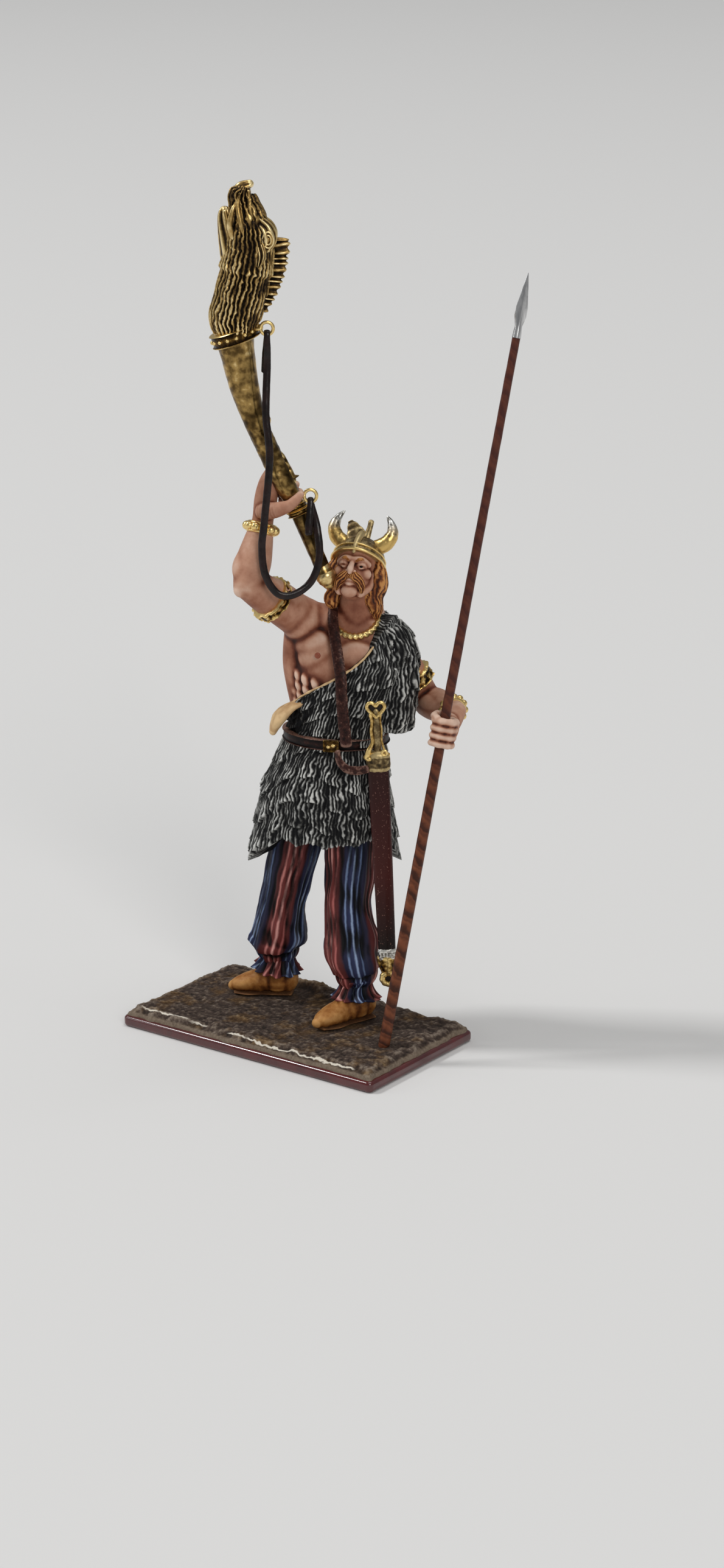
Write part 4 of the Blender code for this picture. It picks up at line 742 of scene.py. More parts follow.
def makeHead():
    ways = headWays()
    gap, eyeUp, eye = faceLook["eyeGap"], faceLook["eyeUp"], faceLook["eyeSize"]
    bm = bmesh.new()
    ball(bm, onHead(0, -0.2, 0.9), (2.4, 2.95, 2.8), ways, 40, 30)
    ball(bm, onHead(0, 0.75, -1.0), (2.0, 2.05, 2.45), ways, 40, 30)
    ball(bm, onHead(0, 2.1, -2.7), (0.95, 0.75, 0.72), ways)
    limb(bm, headLine((-1.6, 1.9, 0.5), (-0.9, 2.55, 0.82), (0, 2.7, 0.75), (0.9, 2.55, 0.82),
                      (1.6, 1.9, 0.5)), (0.38, 0.42, 0.4, 0.42, 0.38), side=ways[2])
    limb(bm, headLine((0, 2.75, 0.62), (0, 3.1, 0.1), (0, 3.42, -0.42), (0, 3.35, -0.72)),
         (0.27, 0.3, 0.37, 0.3), side=ways[0])
    for side in (-1, 1):
        ball(bm, onHead(side * 1.3, 1.7, -0.55), (0.8, 0.62, 0.7), ways)
        ball(bm, onHead(side * 0.36, 3.02, -0.62), (0.27, 0.3, 0.22), ways)
        limb(bm, headLine((side * 1.95, 0.6, -0.4), (side * 1.8, 0.9, -1.8), (side * 1.2, 1.6, -2.7)),
             (0.5, 0.5, 0.5))
        # eyelids
        limb(bm, headLine((side * (gap - 0.5), 2.5, eyeUp), (side * (gap - 0.1), 2.7, eyeUp + 0.23),
                          (side * (gap + 0.3), 2.55, eyeUp + 0.2), (side * (gap + 0.52), 2.2, eyeUp)),
             (0.15, 0.22, 0.2, 0.12), 14, 18)
        limb(bm, headLine((side * (gap - 0.5), 2.48, eyeUp - 0.02), (side * gap, 2.6, eyeUp - 0.27),
                          (side * (gap + 0.5), 2.2, eyeUp - 0.04)), (0.08, 0.1, 0.08), 14, 18)
    # mouth
    limb(bm, headLine((-0.7, 2.45, -1.62), (0, 2.78, -1.55), (0.7, 2.45, -1.62)), (0.14, 0.24, 0.14),
         side=ways[2])
    limb(bm, headLine((-0.55, 2.45, -1.9), (0, 2.75, -1.98), (0.55, 2.45, -1.9)), (0.14, 0.25, 0.14),
         side=ways[2])
    head = finished("head", bm, skinPaint, fuse=0.095, soften=1, rounds=12, reach=0.1)
    # painted shade in the eye sockets, beside the nose, under the cheeks and under the chin, and painted
    # highlights on the nose, the chin and the cheekbones
    shade = [(onHead(0, 1.0, -4.6), 1.6, -0.2), (onHead(0, 3.3, -0.1), 0.5, 0.1),
             (onHead(0, 2.6, -2.6), 0.5, 0.08)]
    for side in (-1, 1):
        shade += [(onHead(side * gap, 2.5, eyeUp + 0.45), 0.4, -0.14),
                  (onHead(side * 0.75, 2.6, -0.9), 0.45, -0.14), (onHead(side * 1.7, 1.3, -1.9), 0.9, -0.16),
                  (onHead(side * 1.45, 2.2, -0.5), 0.6, 0.08)]
    paintShadeAndLight(head,
              [(place / mm - Vector((0, 0, solesHeight)), radius, amount) for place, radius, amount in shade])
    bm = bmesh.new()
    gaze = markOn(bm, "gaze")
    for side in (-1, 1):
        centre = onHead(side * gap, 2.17, eyeUp)
        for vert in ball(bm, centre, (eye, eye, eye), ways, 40, 30):
            vert[gaze] = (vert.co - centre).dot(ways[1]) / eye
    material, tree, shader = newPaint("painted eyes", 0.4)
    eyeStops = ((0.0, (0.36, 0.29, 0.24)), (0.66, (0.46, 0.39, 0.33)), (0.69, (0.03, 0.016, 0.010)),
                (0.85, (0.05, 0.026, 0.015)), (0.88, (0.003, 0.003, 0.003)))
    colourBy(tree, shader, rampOf(tree, readMark(tree, "gaze"), eyeStops))
    finished("eyes", bm, material)


hairLook = {"locks": 11, "firstTurn": 74, "turnStep": 21.2, "bottom": -4.2}


def makeHair():
    ways = headWays()
    bm = bmesh.new()

    def hairLines(t, around, place):
        crest = strandsOf(around, place, t * 7, 9, 3.0, 0.7, 2.5)
        return 0.15 * crest + 0.12 * math.sin(around * 2 + t * 7), crest

    for index in range(hairLook["locks"]):
        angle = math.radians(hairLook["firstTurn"] + index * hairLook["turnStep"])
        side, back = math.sin(angle), math.cos(angle)
        low = hairLook["bottom"] - 0.35 * (index % 2) - (0.3 if 2 < index < 8 else 0)
        wag = 0.3 * math.sin(index * 2.1)
        points = headLine((side * 2.2, back * 2.6 - 0.3, 0.9), (side * 2.55, back * 2.95 - 0.4, -0.9),
                          (side * 2.3 + wag * 0.3, back * 2.6 - 0.9, -2.4),
                          (side * 2.55 - wag * 0.3, back * 2.5 - 1.3, -3.5),
                          (side * 2.5 + wag * 0.5, back * 2.4 - 1.7, low))
        limb(bm, points, (0.7, 0.95, 0.8, 0.85, 0.3), 40, 44, 0.75, relief=hairLines)
    finished("hair", bm, hairStrandPaint, rounds=8, reach=0.06)
    bm = bmesh.new()

    def whiskers(t, around, place):
        crest = strandsOf(around, place, t * 4, 9, 5.0, 0.5, 2.0)
        return 0.07 * crest, crest

    for side in (-1, 1):
        limb(bm, headLine((side * 0.05, 3.0, -1.02), (side * 0.5, 3.02, -1.12), (side * 1.0, 2.72, -1.5),
                          (side * 1.35, 2.4, -2.1), (side * 1.45, 2.25, -2.75)),
             (0.32, 0.48, 0.48, 0.38, 0.12), 40, 40, 0.8, ways[0], relief=whiskers)
    finished("moustache", bm, hairStrandPaint, rounds=8, reach=0.05)
    bm = bmesh.new()
    for side in (-1, 1):
        limb(bm, headLine((side * 0.4, 2.98, 0.62), (side * 0.95, 2.88, 0.86), (side * 1.6, 2.25, 0.66)),
             (0.1, 0.15, 0.08), 20, 24, 0.8, ways[2], relief=whiskers)
    finished("eyebrows", bm, hairPaint, rounds=8, reach=0.09)


helmetLook = {"dome": (2.95, 3.42, 2.95), "rimTilt": (0, -0.34, 0.94)}


def makeHelmet():
    ways = headWays()
    centre = onHead(0, -0.25, 1.0)
    tilt = Vector(helmetLook["rimTilt"]).normalized()
    bm = bmesh.new()

    def dents(reach):
        return 0.006 * noise.noise(reach * 3.0) + 0.012 * bump(math.atan2(reach.x, reach.z), 0, 0.1)

    ball(bm, (0, 0, 0), helmetLook["dome"], sides=96, rings=72, relief=dents)
    cut = bmesh.ops.bisect_plane(bm, geom=bm.verts[:] + bm.edges[:] + bm.faces[:], plane_co=tilt * -0.3,
                                 plane_no=-tilt, clear_outer=True)
    bmesh.ops.holes_fill(bm, edges=[piece for piece in cut["geom_cut"]
                                    if isinstance(piece, bmesh.types.BMEdge)], sides=0)
    turn = Matrix((ways[0], ways[1], ways[2])).transposed().to_4x4()
    bmesh.ops.transform(bm, matrix=Matrix.Translation(centre) @ turn, verts=bm.verts)
    faceOut(bm, bm.verts[:])
    # fin beside the figure's right horn, the upright peg and the ridge over the bowl
    ridges = lambda t, around, place: 0.03 * math.sin(t * 19) + 0.04 * noise.noise(place * 2)
    limb(bm, headLine((-0.3, 0.9, 3.5), (-0.9, 0.7, 4.5), (-1.5, 0.6, 5.4)), (1.25, 0.85, 0.3), 32, 40, 0.22,
         ways[0], relief=ridges)
    limb(bm, headLine((0.45, -0.1, 3.8), (0.65, -0.1, 5.0), (0.7, -0.1, 5.7)), (0.45, 0.33, 0.34), 24, 24,
         0.8)
    limb(bm, headLine((0, 3.05, 1.6), (0, 2.5, 2.6), (0.1, 1.2, 3.95), (0.1, -0.5, 4.3)),
         (0.2, 0.34, 0.4, 0.3), 20, 24)
    finished("helmet_bowl", bm, bronze, rounds=8, reach=0.06)
    rimUp = (ways[1] * tilt.y + ways[2] * tilt.z).normalized()
    ahead = ways[0].cross(rimUp) * -1
    bm = bmesh.new()
    uneven = lambda around, out, up: 0.03 * noiseRound(around, 5, up * 2)
    hoop(bm, centre - rimUp * 0.22, (ways[0], ahead, rimUp), (3.0, 3.45), roundProfile(0.2, 0.17), 132,
         uneven)
    hoop(bm, centre + rimUp * 0.52, (ways[0], ahead, rimUp), (2.86, 3.3), roundProfile(0.17, 0.12), 132,
         uneven)
    finished("helmet_rim", bm, gold, rounds=6, reach=0.05)
    bm = bmesh.new()
    pits = lambda t, around, place: 0.04 * noise.noise(place * 2.2) + 0.03 * noise.noise(place * 5)
    for side in (-1, 1):
        limb(bm, headLine((side * 1.9, -0.1, 2.9), (side * 2.9, 0.0, 3.6), (side * 3.35, 0.1, 4.7),
                          (side * 3.0, 0.1, 5.8), (side * 2.5, 0.1, 6.5)), (0.9, 0.84, 0.68, 0.4, 0.13), 44,
             50, relief=pits, marks={"tip": lambda t, around: t})
    material, tree, shader = newPaint("helmet horns", 0.34, 1.0)
    # darker in the hollows and paler on the ridges by the raised mark: painted shade and highlight
    level = sums(tree, "ADD", readMark(tree, "raised"), drift(tree, grainOf(tree, 0.45), 0.8))
    root = rampOf(tree, level,
                  ((0.25, (0.02, 0.011, 0.004)), (0.5, (0.14, 0.08, 0.023)), (0.78, (0.72, 0.49, 0.17))))
    end = rampOf(tree, level,
                 ((0.25, (0.02, 0.02, 0.018)), (0.5, (0.19, 0.18, 0.16)), (0.78, (0.80, 0.79, 0.75))))
    colourBy(tree, shader,
             mixed(tree, rampOf(tree, readMark(tree, "tip"), ((0.4, 0.0), (0.72, 1.0))), root, end))
    finished("helmet_horns", bm, material, rounds=8, reach=0.06)


makeChest()
makeHornHand()
makeLeftArm()
makeHead()
makeHair()
makeHelmet()
print("body, head and helmet done")


# Jewellery, belt and straps

armLook = {
    "right": {"bandPlace": 0.62, "band": (2.32, 0.32, 0.6), "beadPlace": 0.95, "beads": (1.62, 11, 0.52),
              "studPlaces": (0.56, 0.62, 0.68), "studOut": (-1.6, -0.3, -1.75), "stud": (0.3, 0.3, 0.3)},
    "left": {"bandPlace": 0.55, "band": (1.98, 0.34, 0.85), "beadPlace": 0.9, "beads": (1.45, 12, 0.42),
             "studPlaces": (0.43,), "studOut": (1.75, -0.9, 0.6), "stud": (0.42, 0.42, 0.38)},
}


def ringWays(way):
    up = Vector(way).normalized()
    first = up.cross(Vector((0.3, -0.5, 0.8))).normalized()
    return first, up.cross(first), up


def armBand(bm, centre, way, radius, thick, tall, relief):
    hoop(bm, centre, ringWays(way), (radius, radius), bandProfile(thick, tall, tall * 0.28), 96, relief)


def beadRow(bm, centre, way, radius, count, size):
    first, second, up = ringWays(way)
    for step in range(count):
        angle = math.tau * step / count
        spot = Vector(centre) + first * (math.cos(angle) * radius) + second * (math.sin(angle) * radius)
        ball(bm, spot, (size * 1.05, size * 1.05, size), sides=18, rings=12)
    for side in (-1, 1):
        hoop(bm, Vector(centre) + up * (side * size * 0.85), (first, second, up),
             (radius - 0.22, radius - 0.22), roundProfile(size * 0.62, size * 0.4, 10), 60)


def makeJewellery():
    chased = lambda around, out, up: 0.3 * noiseRound(around, 5, up * 2.4) if out > 0.05 else 0
    for name, look in armLook.items():
        shoulder, elbow, wrist = (vec(pose[name + joint]) for joint in ("Shoulder", "Elbow", "Wrist"))
        upper, lower = elbow - shoulder, wrist - elbow
        bm = bmesh.new()
        armBand(bm, shoulder + upper * look["bandPlace"], upper, *look["band"], chased)
        for share in look["studPlaces"]:
            ball(bm, shoulder + upper * share + vec(look["studOut"]), look["stud"])
        finished(name + "_armband", bm, gold, rounds=6, reach=0.05)
        bm = bmesh.new()
        beadRow(bm, elbow + lower * look["beadPlace"], lower, *look["beads"])
        finished(name + "_bracelet", bm, gold, rounds=6, reach=0.07)
    bm = bmesh.new()
    turn = pose["chestTurn"]
    ahead = (facing(turn) + Vector((0, 0, -0.72))).normalized()
    twist = lambda around, out, up: 0.1 * math.sin(around * 26 + math.atan2(up, out) * 2)
    hoop(bm, (4.6, 6.4, 46.5), (leftward(turn), ahead, leftward(turn).cross(ahead)), (2.35, 2.55),
         roundProfile(0.36, 0.36), 150, twist)
    finished("torc", bm, gold, rounds=6, reach=0.05)


beltLook = {"centre": (2.1, 5.5, 32.9), "radii": (6.0, 4.65), "thickness": 0.34, "halfHeight": 0.66,
            "buckle": (4.85, 0.96, 32.98), "buckleSize": (1.75, 0.5, 1.3)}


def makeBelt():
    waist = pose["pelvisTurn"] + 4
    bm = bmesh.new()
    hoop(bm, beltLook["centre"], upright(waist), beltLook["radii"],
         bandProfile(beltLook["thickness"], beltLook["halfHeight"], 0.14), 120,
         lambda around, out, up: 0.05 * noiseRound(around, 6, up))
    finished("belt", bm, darkLeather, rounds=6, reach=0.06)
    bm = bmesh.new()
    made = bmesh.ops.create_cube(bm, size=1.0)["verts"]
    bmesh.ops.scale(bm, vec=beltLook["buckleSize"], verts=made)
    front = [face for face in bm.faces if face.normal.y < -0.9]
    bmesh.ops.inset_region(bm, faces=front, thickness=0.26, depth=0)
    bmesh.ops.translate(bm, vec=(0, 0.2, 0), verts=list({vert for face in front for vert in face.verts}))
    bmesh.ops.bevel(bm, geom=bm.edges[:], offset=0.07, segments=2, profile=0.5, affect="EDGES", material=-1)
    bmesh.ops.subdivide_edges(bm, edges=bm.edges[:], cuts=3, use_grid_fill=True)
    ball(bm, (0.28, -0.05, 0.08), (0.28, 0.22, 0.24), sides=16, rings=12)
    ball(bm, (-0.3, -0.05, -0.1), (0.26, 0.2, 0.22), sides=16, rings=12)
    place = Matrix.Translation(beltLook["buckle"]) @ Matrix.Rotation(math.radians(waist + 12), 4, "Z")
    bmesh.ops.transform(bm, matrix=place, verts=bm.verts)
    finished("buckle", bm, gold, rounds=5, reach=0.05, sharp=35)


baldricLook = {
    "line": ((1.0, 9.6, 45.0), (1.2, 7.9, 47.4), (1.9, 5.8, 48.0), (3.1, 3.9, 46.6), (4.8, 2.3, 43.8),
             (5.8, 1.65, 41.0), (6.4, 1.1, 37.5), (7.05, 0.9, 33.5)),
    "halfWidths": (0.55, 0.55, 0.56, 0.6, 0.64, 0.66, 0.66, 0.66),
    "loop": ((6.0, 0.6, 32.6), (6.5, 0.35, 31.6), (7.5, 0.4, 30.9), (8.6, 0.9, 30.8), (9.5, 1.5, 31.0)),
    "loopHalfWidths": (0.5, 0.5, 0.5, 0.5, 0.45), "flatness": 0.42,
}


def makeBaldric():
    look = baldricLook
    worn = lambda t, around, place: 0.035 * noise.noise(place * 2.0)
    bm = bmesh.new()
    limb(bm, look["line"], look["halfWidths"], 32, 110, look["flatness"], leftward(pose["chestTurn"] - 4),
         worn)
    finished("baldric", bm, darkLeather, rounds=6, reach=0.05)
    bm = bmesh.new()
    limb(bm, look["loop"], look["loopHalfWidths"], 24, 40, look["flatness"], Vector((0.1, 0.1, 1)), worn)
    finished("scabbard_loop", bm, darkLeather, rounds=6, reach=0.05)


makeJewellery()
makeBelt()
makeBaldric()
print("jewellery and straps done")


# Fur

furLook = {"strandCount": 98, "strandHeight": 0.24, "tuftHeight": 0.5, "skirtTop": 33.3, "capeHem": 32.6}


def ovalPoint(middle, side, front, around, wide, deep):
    return middle + side * (math.cos(around) * wide) - front * (math.sin(around) * deep)


def tufts(t, around, rows, columns):
    # pointed locks hanging over each other, 0 to 1
    row = t * rows + 0.35 * math.sin(around * 3) + rows
    lane = (around / math.tau * columns + 0.5 * (int(row) % 2) + 0.15 * math.sin(11 * t)) % 1.0
    return (0.25 + 0.75 * (row % 1.0)) * (1 - (abs(lane - 0.5) * 2) ** 1.6)


def skirtHem(around):
    ragged = 0.55 * abs(((around / math.tau * 13) % 1.0) * 2 - 1) + 0.35 * noiseRound(around, 7, 0)
    tails = 3.8 * bump(around, -2.65, 0.4) + 4.4 * bump(around, 0.5, 0.38)
    return 21.7 + ragged - tails + 0.6 * math.sin(around)


def makeSkirt():
    rings, sides, turned = 110, 450, 9
    bm = bmesh.new()
    strandLayer = markOn(bm, "strand")
    for vert in bmesh.ops.create_uvsphere(bm, u_segments=sides, v_segments=rings, radius=1.0)["verts"]:
        ring, around = ringAndTurn(vert, rings)
        hem = skirtHem(around)
        if ring < turned:
            share = ring / turned
            down, reach, height = 1.0, share ** 0.5 * 0.93, hem + 2.2 * (1 - share ** 1.5) + 0.1
        else:
            down = 1 - (ring - turned) / (rings - turned)
            reach = 1.0 if ring < rings else 0.0
            height = hem + (furLook["skirtTop"] - hem) * (1 - down)
        flare = (1.9 * bump(around, -2.65, 0.45) + 1.1 * bump(around, 0.5, 0.4)) * down ** 2
        spread = min(1.0, down * 1.9) ** 0.8
        wide, deep = 5.2 + 1.7 * spread + 0.5 * down + flare, 3.8 + 1.1 * spread + 0.6 * down + flare
        turn = pose["pelvisTurn"] + 4 * (1 - down)
        middle = Vector((2.1 - 0.9 * min(1.0, down * 2), 5.5 - 0.7 * min(1.0, down * 2), height))
        side, front = leftward(turn), facing(turn)
        place = ovalPoint(middle, side, front, around, wide, deep)
        tuft = furLook["tuftHeight"] * tufts(down, around, 4.2, 15)
        crest = strandsOf(around, place, height, furLook["strandCount"], 2.0)
        strand = furLook["strandHeight"] * crest
        shade = 0.72 + 0.28 * soft(tuft, 0.0, furLook["tuftHeight"])
        vert[strandLayer] = crest * shade * soft(ring, 0, turned)
        relief = (tuft + strand) * soft(down, 0.0, 0.08) * soft(ring, turned * 0.4, turned * 1.1)
        vert.co = ovalPoint(middle, side, front, around, (wide + relief) * reach, (deep + relief) * reach)
        vert.co.z -= 0.5 * strand * (down > 0.97)
    finished("fur_skirt", bm, furPaint, rounds=9, reach=0.075, sharp=180)


def capeTop(around):
    return 40.6 + 5.2 * math.cos(around + 0.25) + 1.2 * math.cos(2 * around) - 1.5 * bump(around, -2.75, 0.5)


def capePlace(height):
    chest = clamp((height - furLook["capeHem"]) / 12)
    wide, deep = blended([5.5, 5.7, 6.2, 6.6, 4.9], chest), blended([4.2, 4.3, 4.7, 5.0, 3.6], chest)
    turn = pose["pelvisTurn"] + (pose["chestTurn"] - pose["pelvisTurn"]) * chest
    middle = Vector((blended([2.2, 2.6, 3.2, 3.6], chest), blended([5.5, 5.9, 6.5, 6.9], chest), height))
    return middle, leftward(turn), facing(turn), wide, deep


def makeCape():
    rings, sides, turned = 100, 430, 8
    bm = bmesh.new()
    strandLayer = markOn(bm, "strand")
    for vert in bmesh.ops.create_uvsphere(bm, u_segments=sides, v_segments=rings, radius=1.0)["verts"]:
        ring, around = ringAndTurn(vert, rings)
        up = clamp((ring - turned) / (rings - 2 * turned))
        share = min(ring, turned, rings - ring) / turned
        reach = 0.9 + 0.1 * math.sin(share * math.pi / 2) if share >= 0.35 else 0.9 * share / 0.35
        height = furLook["capeHem"] + (capeTop(around) - furLook["capeHem"]) * up
        middle, side, front, wide, deep = capePlace(height)
        place = ovalPoint(middle, side, front, around, wide, deep)
        tuft = furLook["tuftHeight"] * tufts(1 - up, around, 3.6, 14)
        crest = strandsOf(around, place, height, furLook["strandCount"], 8.0)
        strand = furLook["strandHeight"] * crest
        dark = 0.45 * soft(-around, 1.55, 2.2) * soft(-height, -38.5, -35.5)
        shade = 0.72 + 0.28 * soft(tuft, 0.0, furLook["tuftHeight"])
        vert[strandLayer] = (crest * shade - dark) * soft(share, 0.0, 0.6)
        relief = (tuft + strand) * soft(share, 0.1, 0.8) * (0.3 + 0.7 * soft(1 - up, 0.0, 0.05))
        vert.co = ovalPoint(middle, side, front, around, (wide + relief) * reach, (deep + relief) * reach)
    finished("fur_cape", bm, furPaint, rounds=9, reach=0.075, sharp=180)
    bm = bmesh.new()
    chestSide = leftward(pose["chestTurn"])

    def fur(t, around, place):
        tuft, crest = tufts(t, around, 4, 8), strandsOf(around, place, place.z, 33, 12.0)
        relief = furLook["tuftHeight"] * tuft + furLook["strandHeight"] * crest - 0.12
        return relief, crest * (0.72 + 0.28 * tuft)

    limb(bm, ((5.4, 8.4, 45.5), (7.1, 9.0, 43.9), (8.1, 9.0, 41.3), (8.1, 8.7, 37.8), (7.8, 8.2, 34.2)),
         (1.6, 2.3, 2.4, 2.35, 2.2), 180, 105, 1.15, chestSide, relief=fur, cap=4, dome=0.35)
    limb(bm, ((5.4, 10.0, 44.6), (5.6, 10.9, 40.0), (5.2, 10.6, 35.0)), (1.9, 2.3, 2.0), 120, 70, 0.7,
         chestSide, relief=fur, cap=4)
    finished("fur_shoulder_flap", bm, furPaint, rounds=9, reach=0.075, sharp=180)
    # the tan inside of the hide: a turned edge along the top and a fold under the right arm
    bm = bmesh.new()
    edge = []
    for step in range(40):
        around = math.radians(-178 + step * 3.1)
        middle, side, front, wide, deep = capePlace(capeTop(around))
        edge.append(ovalPoint(middle, side, front, around, wide + 0.2, deep + 0.2) + vec(0, 0, 0.05))
    creased = lambda t, around, place: 0.06 * noise.noise(place * 1.6)
    limb(bm, edge, [0.24] * 14 + [0.13] * (len(edge) - 14), 16, 160, 0.8, relief=creased)
    folds = lambda t, around, place: 0.04 * math.sin(around * 2 + t * 5) + 0.05 * noise.noise(place * 1.2)
    # the turned-out corner
    limb(bm, ((0.9, 2.0, 37.2), (-0.6, 1.2, 36.7), (-2.0, 0.3, 35.3), (-2.5, -0.2, 33.7)),
         (0.6, 1.25, 1.9, 1.0), 60, 60, 0.38, hornSide, relief=folds)
    finished("hide_lining", bm, hidePaint, rounds=10, reach=0.08)


makeSkirt()
makeCape()
print("fur done")


# Trousers and shoes

legs = {
    "right": {"line": ((-1.0, 4.9, 27.0), (-2.8, 4.0, 18.8), (-4.4, 3.5, 12.0), (-5.6, 4.0, 7.2),
                       (-5.78, 4.17, 5.9)),
              "tie": (-5.9, 4.3, 4.9), "cuff": (-6.1, 4.3, 3.0), "phase": 0.0},
    "left": {"line": ((4.1, 6.0, 27.0), (4.3, 5.1, 19.8), (4.8, 4.0, 13.3), (5.9, 3.3, 7.2),
                      (6.1, 3.25, 5.6)),
             "tie": (6.3, 3.2, 4.2), "cuff": (6.4, 3.0, 2.5), "phase": 1.7},
}
stripeLook = {
    "repeats": 3,
    "stops": ((0.0, (0.012, 0.014, 0.035)), (0.05, (0.012, 0.014, 0.035)), (0.075, (0.10, 0.14, 0.24)),
              (0.1, (0.012, 0.015, 0.04)), (0.15, (0.014, 0.018, 0.05)), (0.18, (0.26, 0.34, 0.50)),
              (0.21, (0.02, 0.025, 0.065)), (0.27, (0.014, 0.017, 0.045)), (0.3, (0.16, 0.22, 0.36)),
              (0.33, (0.014, 0.015, 0.038)), (0.4, (0.012, 0.012, 0.03)), (0.44, (0.06, 0.014, 0.014)),
              (0.5, (0.085, 0.018, 0.017)), (0.535, (0.36, 0.11, 0.10)), (0.565, (0.10, 0.02, 0.018)),
              (0.62, (0.11, 0.022, 0.02)), (0.655, (0.60, 0.29, 0.26)), (0.69, (0.14, 0.03, 0.027)),
              (0.74, (0.10, 0.022, 0.02)), (0.775, (0.45, 0.17, 0.15)), (0.81, (0.09, 0.018, 0.017)),
              (0.88, (0.06, 0.014, 0.014)), (0.93, (0.014, 0.013, 0.03))),
}


def stripedCloth():
    material, tree, shader = newPaint("striped cloth", 0.55)
    stripe = sums(tree, "ADD", readMark(tree, "stripe"), drift(tree, grainOf(tree, 1.6), 0.05))
    stripes = rampOf(tree, sums(tree, "FRACT", stripe, 0.0), stripeLook["stops"])
    level = sums(tree, "ADD", readMark(tree, "raised"), drift(tree, grainOf(tree, 0.3), 0.2))
    shade = rampOf(tree, level, ((0.25, 0.08), (0.5, 0.6), (0.78, 1.35)))
    colourBy(tree, shader, mixed(tree, 1.0, stripes, shade, "MULTIPLY"))
    roughen(tree, shader, grainOf(tree, 0.2), 0.25, 0.03)
    return material


def makeTrousers():
    cloth = stripedCloth()
    for name, leg in legs.items():
        phase = leg["phase"]
        repeats = stripeLook["repeats"]

        def folds(t, around, place):
            # long folds down the leg, fine ones between them, slack cloth, and sagging rings over the shoe
            long = 0.16 * math.sin(around * 9 + t * 3 + phase) * (0.35 + 0.65 * t)
            fine = 0.06 * math.sin(around * 23 + 3 * noise.noise(place * 0.4))
            slack = 0.5 * noiseAt(math.cos(around) * 1.1 + phase, math.sin(around) * 1.1, t * 7)
            sag = 0.22 * max(0.0, math.sin(t * 19 + around * 2 + phase)) * soft(t, 0.35, 0.6)
            return long + fine + slack * soft(t, 0.1, 0.5) + sag * (1 - soft(t, 0.8, 1.0))

        def stripe(t, around):
            return around / math.tau * repeats + 0.06 * math.sin(t * 5 + phase) + phase + repeats

        bm = bmesh.new()
        limb(bm, leg["line"], (3.3, 2.9, 2.65, 3.1, 2.3), 140, 112, relief=folds, marks={"stripe": stripe},
             cap=16)
        finished(name + "_trouser_leg", bm, cloth, rounds=12, reach=0.1, sharp=180)
        bm = bmesh.new()
        frill = lambda t, around, place: (0.34 * math.sin(around * 12 + phase + 0.8 * math.sin(around * 3))
                                          * t ** 0.8 + 0.07 * math.sin(around * 31) * t)
        tie, cuff = vec(leg["tie"]), vec(leg["cuff"])
        limb(bm, (tie + vec(0, 0, 0.75), tie, tie.lerp(cuff, 0.55), cuff + vec(0, 0, 0.1)),
             (2.1, 1.8, 2.15, 2.75), 150, 36, relief=frill, marks={"stripe": stripe}, cap=4, dome=0.12)
        finished(name + "_cuff", bm, cloth, rounds=8, reach=0.08, sharp=180)


def makeShoes():
    solePaint = washedPaint("dark sole", ((0.2, (0.012, 0.006, 0.003)), (0.5, (0.06, 0.025, 0.011)),
                                          (0.9, (0.26, 0.12, 0.045))), 0.6)
    for name, leg in legs.items():
        heel, toe = (vec(*point, 0) for point in shoePrints[name])
        way, long = (toe - heel).normalized(), (toe - heel).length
        side = way.cross(Vector((0, 0, 1)))
        heights = (1.55, 1.75, 1.45, 1.15, 0.85, 0.6)
        stops = (0.12, 0.3, 0.5, 0.7, 0.86, 0.95)
        line = [heel + way * (long * stop) + vec(0, 0, height * 0.98 + 0.15)
                for stop, height in zip(stops, heights)]
        creases = lambda t, around, place: (0.03 * math.sin(t * 46 + 1.5 * math.cos(around))
                                            * bump(t, 0.42, 0.1) + 0.03 * noise.noise(place * 1.5))
        bm = bmesh.new()
        sweep(bm, line, [1.15, 1.3, 1.4, 1.5, 1.25, 0.7], heights, side, 80, 90, 6, creases)
        ankle = vec(leg["cuff"])
        limb(bm, ((ankle.x, ankle.y, 3.6), (ankle.x, ankle.y, 1.4)), (1.5, 1.5))
        for vert in bm.verts:
            vert.co.z = max(vert.co.z, 0.2)
        finished(name + "_shoe", bm, tanLeather, fuse=0.13, soften=3, rounds=9, reach=0.08)
        bm = bmesh.new()
        sole = [heel + way * (long * stop) + vec(0, 0, 0.16) for stop in (0.08, 0.3, 0.5, 0.72, 0.91)]
        sweep(bm, sole, [1.35, 1.42, 1.38, 1.62, 1.1], [0.24] * 5, side, 44, 36, 6)
        for vert in bm.verts:
            vert.co.z = max(vert.co.z, -0.1)
        finished(name + "_sole", bm, solePaint, rounds=4)


makeTrousers()
makeShoes()
print("trousers and shoes done")


# Sword

swordLook = {"guard": (10.15, 2.6, 32.75), "end": (10.7, 3.3, 8.6), "gripLength": 4.75,
             "halfWidth": 1.2, "halfThick": 0.65}


